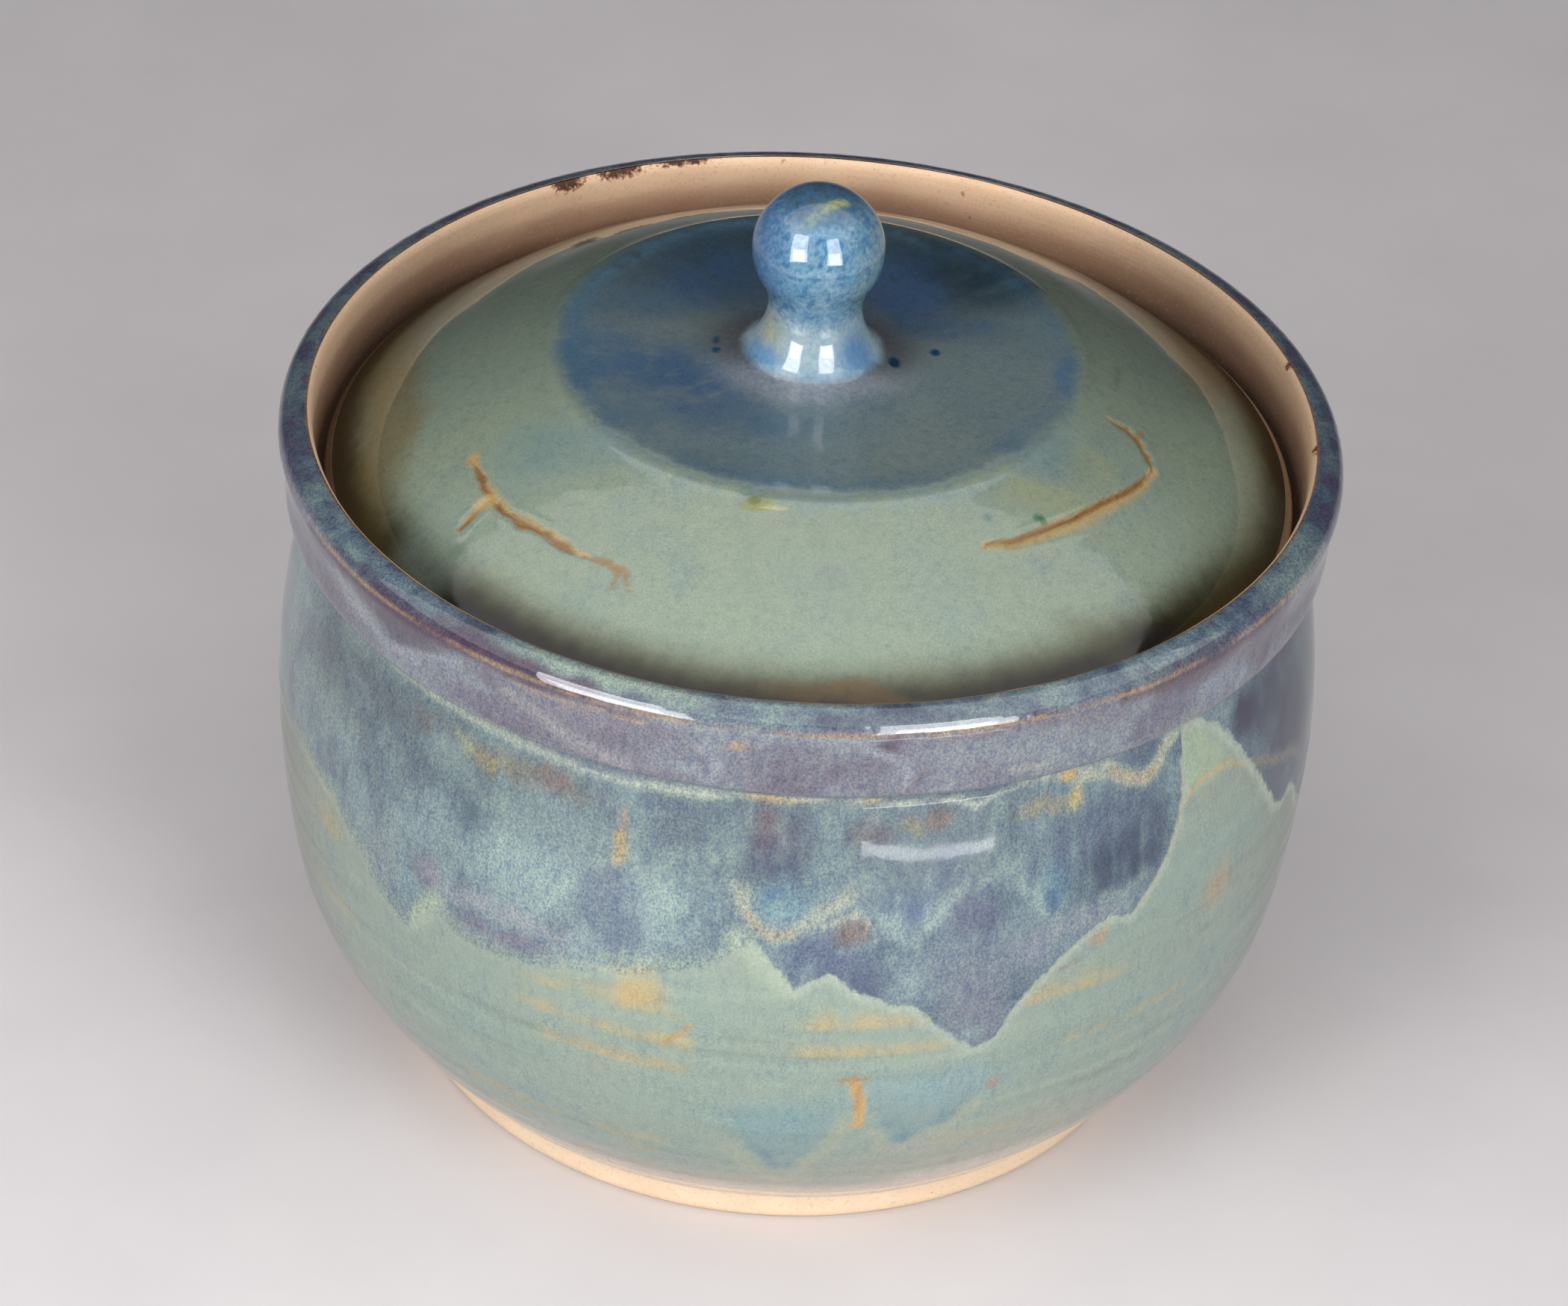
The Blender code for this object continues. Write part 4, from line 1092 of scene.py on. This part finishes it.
def build_lid():
    skin = lid_skin()
    edge = arc((LID_GLAZE_RADIUS - 0.45, LID_GLAZE_FOOT + 0.05), 0.42, 20, -120, 4)
    outline = np.vstack([skin, edge, inset(skin, GLAZE)[::-1][::8]])
    grid = Turned(outline, LID_COAT_SEGMENTS, shown=len(skin) + len(edge))
    grid.x_shift = KNOB_X * (1 - ease(KNOB_SKIRT, KNOB_FADE, grid.r))
    x, y = grid.plan(grid.r)
    paint = painted_blank(grid, LID_GREEN)
    paint["under"], paint["fleck"], relief = lid_tones(x, y)
    grid.relief = relief * ease(KNOB_SKIRT, KNOB_SKIRT + 4, grid.r)
    grid.mesh("lid_glaze_coat", "lid", ["lid_glaze"], lid_look, paint, 0, closed=True)

    under_skin = inset(skin, CLAY_DEPTH)
    top = np.vstack([[(0.0, PLATEAU - 0.6)], under_skin[1::4]])
    side = smooth_line([(LID_RADIUS - 0.9, LID_GLAZE_FOOT - 0.55), (LID_RADIUS - 0.25, LID_SEAT + 2.7),
                        (LID_RADIUS, LID_SEAT + 1.8), (LID_RADIUS - 0.15, LID_SEAT + 0.7),
                        (LID_RADIUS - 0.8, LID_SEAT)], 0.4)
    inner_seat = LID_RADIUS - LID_SEAT_WIDTH
    hollow = inset(skin[skin[:, 0] > PLATEAU_RADIUS - 8], LID_THICKNESS)[::-1]
    hollow = hollow[hollow[:, 1] > LID_SEAT + 2.5][::4]
    under = smooth_line([(inner_seat + 0.6, LID_SEAT), (inner_seat - 0.2, LID_SEAT + 0.5), *hollow,
                         (20.0, PLATEAU - LID_THICKNESS), (0.0, PLATEAU - LID_THICKNESS + 0.1)], 1.6)
    clay = Turned(np.vstack([top, side, under]), LID_SEGMENTS)
    x, y = clay.plan(clay.r)
    cloud = clouds(x, y, 16, 16, 231, 4)
    tone = Coat(clay.r.shape, (196, 156, 122))
    tone.wash(ease(0, 0.9, cloud), (172, 132, 100), 0.7)
    # painted shade on the lid's bare edge low in the gap against the collar wall, darkest on the left
    gap_shade = (1 - ease(105.4, 106.4, clay.z)) * ease(LID_RADIUS - 2.5, LID_RADIUS - 1.0, clay.r)
    tone.wash(gap_shade, (150, 118, 90), 0.8)
    tone.wash(gap_shade * (1 - ease(30, 55, np.abs(clay.az + 90))), (80, 56, 38), 0.9)
    clay.relief = 0.06 * cloud + 0.05 * np.sin(clay.r * 1.7)
    paint = {"under": tone.tones, "stain": np.zeros(clay.r.shape)}
    clay.mesh("lid_body", "lid", ["lid_clay"], clay_look, paint)


# ---------------------------------------------------------------- the knob

KNOB_BLUE = (103, 143, 168)


def build_knob():
    ball = arc((0.0, BALL_HEIGHT), BALL_RADIUS, 90, -38, 44)
    throat = smooth_line([tuple(ball[-1]), (NECK_RADIUS + 0.1, NECK_HEIGHT + 1.8),
                          (NECK_RADIUS, NECK_HEIGHT - 0.2), (NECK_RADIUS + 0.55, NECK_HEIGHT - 2.8),
                          (NECK_RADIUS + 1.7, NECK_HEIGHT - 5.2), (NECK_RADIUS + 3.4, NECK_HEIGHT - 7.2),
                          (NECK_RADIUS + 5.6, PLATEAU + 0.75), (KNOB_SKIRT, PLATEAU + 0.25)], 0.4)
    skin = np.vstack([ball, throat[1:]])
    skin[0, 0] = 0.0
    base = [(KNOB_SKIRT, PLATEAU - 0.2), (KNOB_SKIRT - 1.0, PLATEAU - 0.25), (0.0, PLATEAU - 0.25)]
    seam = len(skin) - 1
    grid = Turned(np.vstack([skin, base]), KNOB_SEGMENTS, shown=seam)
    az, z = grid.az, grid.z
    x, y = grid.plan(grid.r)
    grid.x_shift += KNOB_X
    swirl = clouds(x * 1.3 + z, y * 1.3 - z * 0.6, 4.5, 4.5, 301, 4)
    small = clouds(az / 4, z, 3, 3, 311, 3, around=90)
    tone = Coat(z.shape, KNOB_BLUE)
    tone.wash(ease(-0.2, 0.8, swirl), (126, 156, 172), 0.8)
    tone.wash(ease(2, 9, -x) * ease(136, 140, z), (82, 108, 150), 0.7)
    tone.wash(ease(3, 9, x) * ease(134, 138, z), (116, 144, 152), 0.7)
    tone.wash(ease(BALL_HEIGHT + 6.5, BALL_HEIGHT + 10, z + 0.4 * swirl), (70, 90, 106), 0.9)
    speck = lattice((x + 40) / 0.75, (y + 1.3 * z) / 0.75, 331)
    tone.wash(ease(0.15, 0.5, speck) * ease(131, 135, z), (62, 108, 146), 0.65)
    neck = 1 - ease(132.5, 138.0, z + swirl)
    tone.wash(neck, (152, 170, 176), 0.9)
    tone.stain([(-62, 132.5, 24, 4.5, (158, 160, 138), 0.7)], az, z, 0.7, neck)
    low = 1 - ease(128.5, 131.0, z + 0.6 * small)
    tone.stain([(-56, 128.6, 24, 2.2, (96, 138, 176), 0.85)], az, z, 0.5, low)
    tone.stain([(52, 129.4, 22, 3.4, (78, 120, 164), 0.8)], az, z, 0.7)
    ring = np.exp(-((z - 127.4 - 0.25 * small) / 0.5) ** 2) * (1 - ease(70, 100, np.abs(az)))
    tone.wash(ring * ease(-0.4, 0.3, small), (92, 142, 170), 0.8)
    # a lick of pale glaze over the top of the ball
    tone.draw([(0.7, 0.7, (162, 165, 116), 0.8, [(3.4, -1.9), (2.2, -2.8), (0.9, -3.9)]),
               (1.0, 0.8, (124, 142, 132), 0.75, [(0.8, -4.1), (-0.4, -5.0), (-1.5, -5.8)])],
              x + 0.3 * swirl, y + 0.3 * small, z > BALL_HEIGHT)
    # from here out the glaze of the lid and that of the knob are one
    spread = ease(9.8, 11.9, grid.r + 0.4 * small) * (z < NECK_HEIGHT)
    lid_tone, lid_fleck, _ = lid_tones(x + KNOB_X, y)
    tone.blend(spread, lid_tone)
    paint = painted_blank(grid, KNOB_BLUE) | {"under": tone.tones}
    paint["fleck"] = np.where(z > 133.5, 0.5, 0.25) * (1 - spread) + lid_fleck * spread
    inside = ease(1, 5, grid.s[seam] - grid.s) * ease(0, 4, grid.s)
    grid.relief = 0.10 * clouds(x + z, y, 8, 8, 321, 2) * ease(1, 5, grid.s[seam] - grid.s)
    grid.relief *= ease(0, 4, grid.s)
    grid.mesh("knob_glaze_coat", "lid", ["knob_glaze"], knob_look, paint, seam)

    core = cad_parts["knob_clay"]
    plain = Shader(bpy.data.materials.new("knob_clay_core"))
    grains = plain.noise(plain.place(), 0.6, 3.0, 0.6)
    tone = plain.mix(plain.ramp(grains, 0.3, 0.7), (0.62, 0.42, 0.26), (0.76, 0.58, 0.42))
    plain.feed("Base Color", tone)
    plain.feed("Roughness", plain.ramp(grains, 0.3, 0.7, 0.65, 0.8))
    plain.bump(grains, 0.08, 0.8)
    core.data.materials.clear()
    core.data.materials.append(plain.owner)


# ---------------------------------------------------------------- studio

def build_floor():
    """A wide pale table top."""
    look = Shader(bpy.data.materials.new("table_top"))
    cloud = look.noise(look.place(), 60.0, 4.0, 0.6)
    tone = look.mix(look.ramp(cloud, 0.3, 0.7), (0.58, 0.55, 0.555), (0.61, 0.58, 0.58))
    look.feed("Base Color", tone)
    look.feed("Roughness", look.ramp(cloud, 0.3, 0.7, 0.42, 0.5))
    reach = 6000.0
    data = bpy.data.meshes.new("table")
    corners = [(-reach, -reach, FOOT), (reach, -reach, FOOT), (reach, reach, FOOT), (-reach, reach, FOOT)]
    data.from_pydata([Vector(corner) * MM for corner in corners], [], [(0, 1, 2, 3)])
    data.materials.append(look.owner)
    added("table", data)


def soft_light(name, azimuth, elevation, distance, size, power, target=(0, 0, 0.1), upright=False,
               roll=0.0, drop=0.0):
    """A rectangular soft light aimed at the jar, in metres and watts.

    Roll turns it in its own plane, and drop then slides it down.
    """
    lamp = bpy.data.lights.new(name, "AREA")
    lamp.shape = "RECTANGLE"
    lamp.size, lamp.size_y = size
    lamp.energy = power
    a, e = math.radians(azimuth), math.radians(elevation)
    way = Vector((math.sin(a) * math.cos(e), -math.cos(a) * math.cos(e), math.sin(e)))
    facing = Vector((way.x, way.y, 0)) if upright else way
    turn = facing.to_track_quat("Z", "Y") @ Quaternion((0, 0, 1), math.radians(roll))
    holder = added(name, lamp)
    holder.location = Vector(target) + way * distance + turn @ Vector((0, -drop, 0))
    holder.rotation_euler = turn.to_euler()
    holder.visible_camera = False


def build_lights():
    soft_light("left_window", -37.5, 29, 0.72, (0.34, 0.60), 3.9, upright=True, roll=14)
    soft_light("left_glow", -37.5, 29, 0.71, (0.24, 0.22), 0.8, upright=True, roll=14, drop=0.17)
    soft_light("right_window", 29.5, 28, 0.72, (0.31, 0.64), 3.7, upright=True, roll=-4)
    soft_light("right_glow", 29.5, 28, 0.71, (0.22, 0.22), 0.75, upright=True, roll=-4, drop=0.19)
    soft_light("overhead", 0, 90, 1.10, (2.9, 1.45), 13.2, target=(0, -0.275, 0.1))
    soft_light("low_strip", 25.7, 0, 0.281, (0.122, 0.006), 0.009, target=(0, 0, 0.0185), roll=-4)

    world = Shader(bpy.data.worlds.new("studio"))
    bpy.context.scene.world = world.owner
    background = world.tree.nodes["Background"]
    where = world.node("TexCoord").outputs["Generated"]
    split = world.node("SeparateXYZ", {"Vector": where})
    fade = world.node("MapRange", {"From Min": -0.9, "From Max": 0.6, "Value": split.outputs["Y"]})
    room = world.mix(fade.outputs["Result"], (0.26, 0.26, 0.28), (0.045, 0.045, 0.06))
    world.feed(background.inputs["Color"], room)
    background.inputs["Strength"].default_value = 1.0


# The camera was solved from the ellipses of the rim, the collar and the foot: metres and degrees.
CAMERA_DISTANCE = 1.01331
CAMERA_ELEVATION = 37.985
CAMERA_YAW = -0.1286
CAMERA_PITCH = -3.1542
CAMERA_ROLL = -3.7485


def build_camera():
    lens = bpy.data.cameras.new("camera")
    lens.sensor_width = 36.0
    lens.lens = 137.14
    lens.clip_start = 0.05
    lens.clip_end = 50.0
    camera = added("camera", lens)
    elevation = math.radians(CAMERA_ELEVATION)
    stand = Vector((0, -math.cos(elevation), math.sin(elevation))) * CAMERA_DISTANCE
    camera.matrix_world = (
        Matrix.Translation(stand) @ Matrix.Rotation(math.pi / 2 - elevation, 4, "X")
        @ Matrix.Rotation(math.radians(-CAMERA_YAW), 4, "Y")
        @ Matrix.Rotation(math.radians(-CAMERA_PITCH), 4, "X")
        @ Matrix.Rotation(math.radians(-CAMERA_ROLL), 4, "Z"))
    bpy.context.scene.camera = camera


build_pot()
build_lid()
build_knob()
build_floor()
build_lights()
build_camera()
bpy.context.scene.view_settings.view_transform = "Standard"
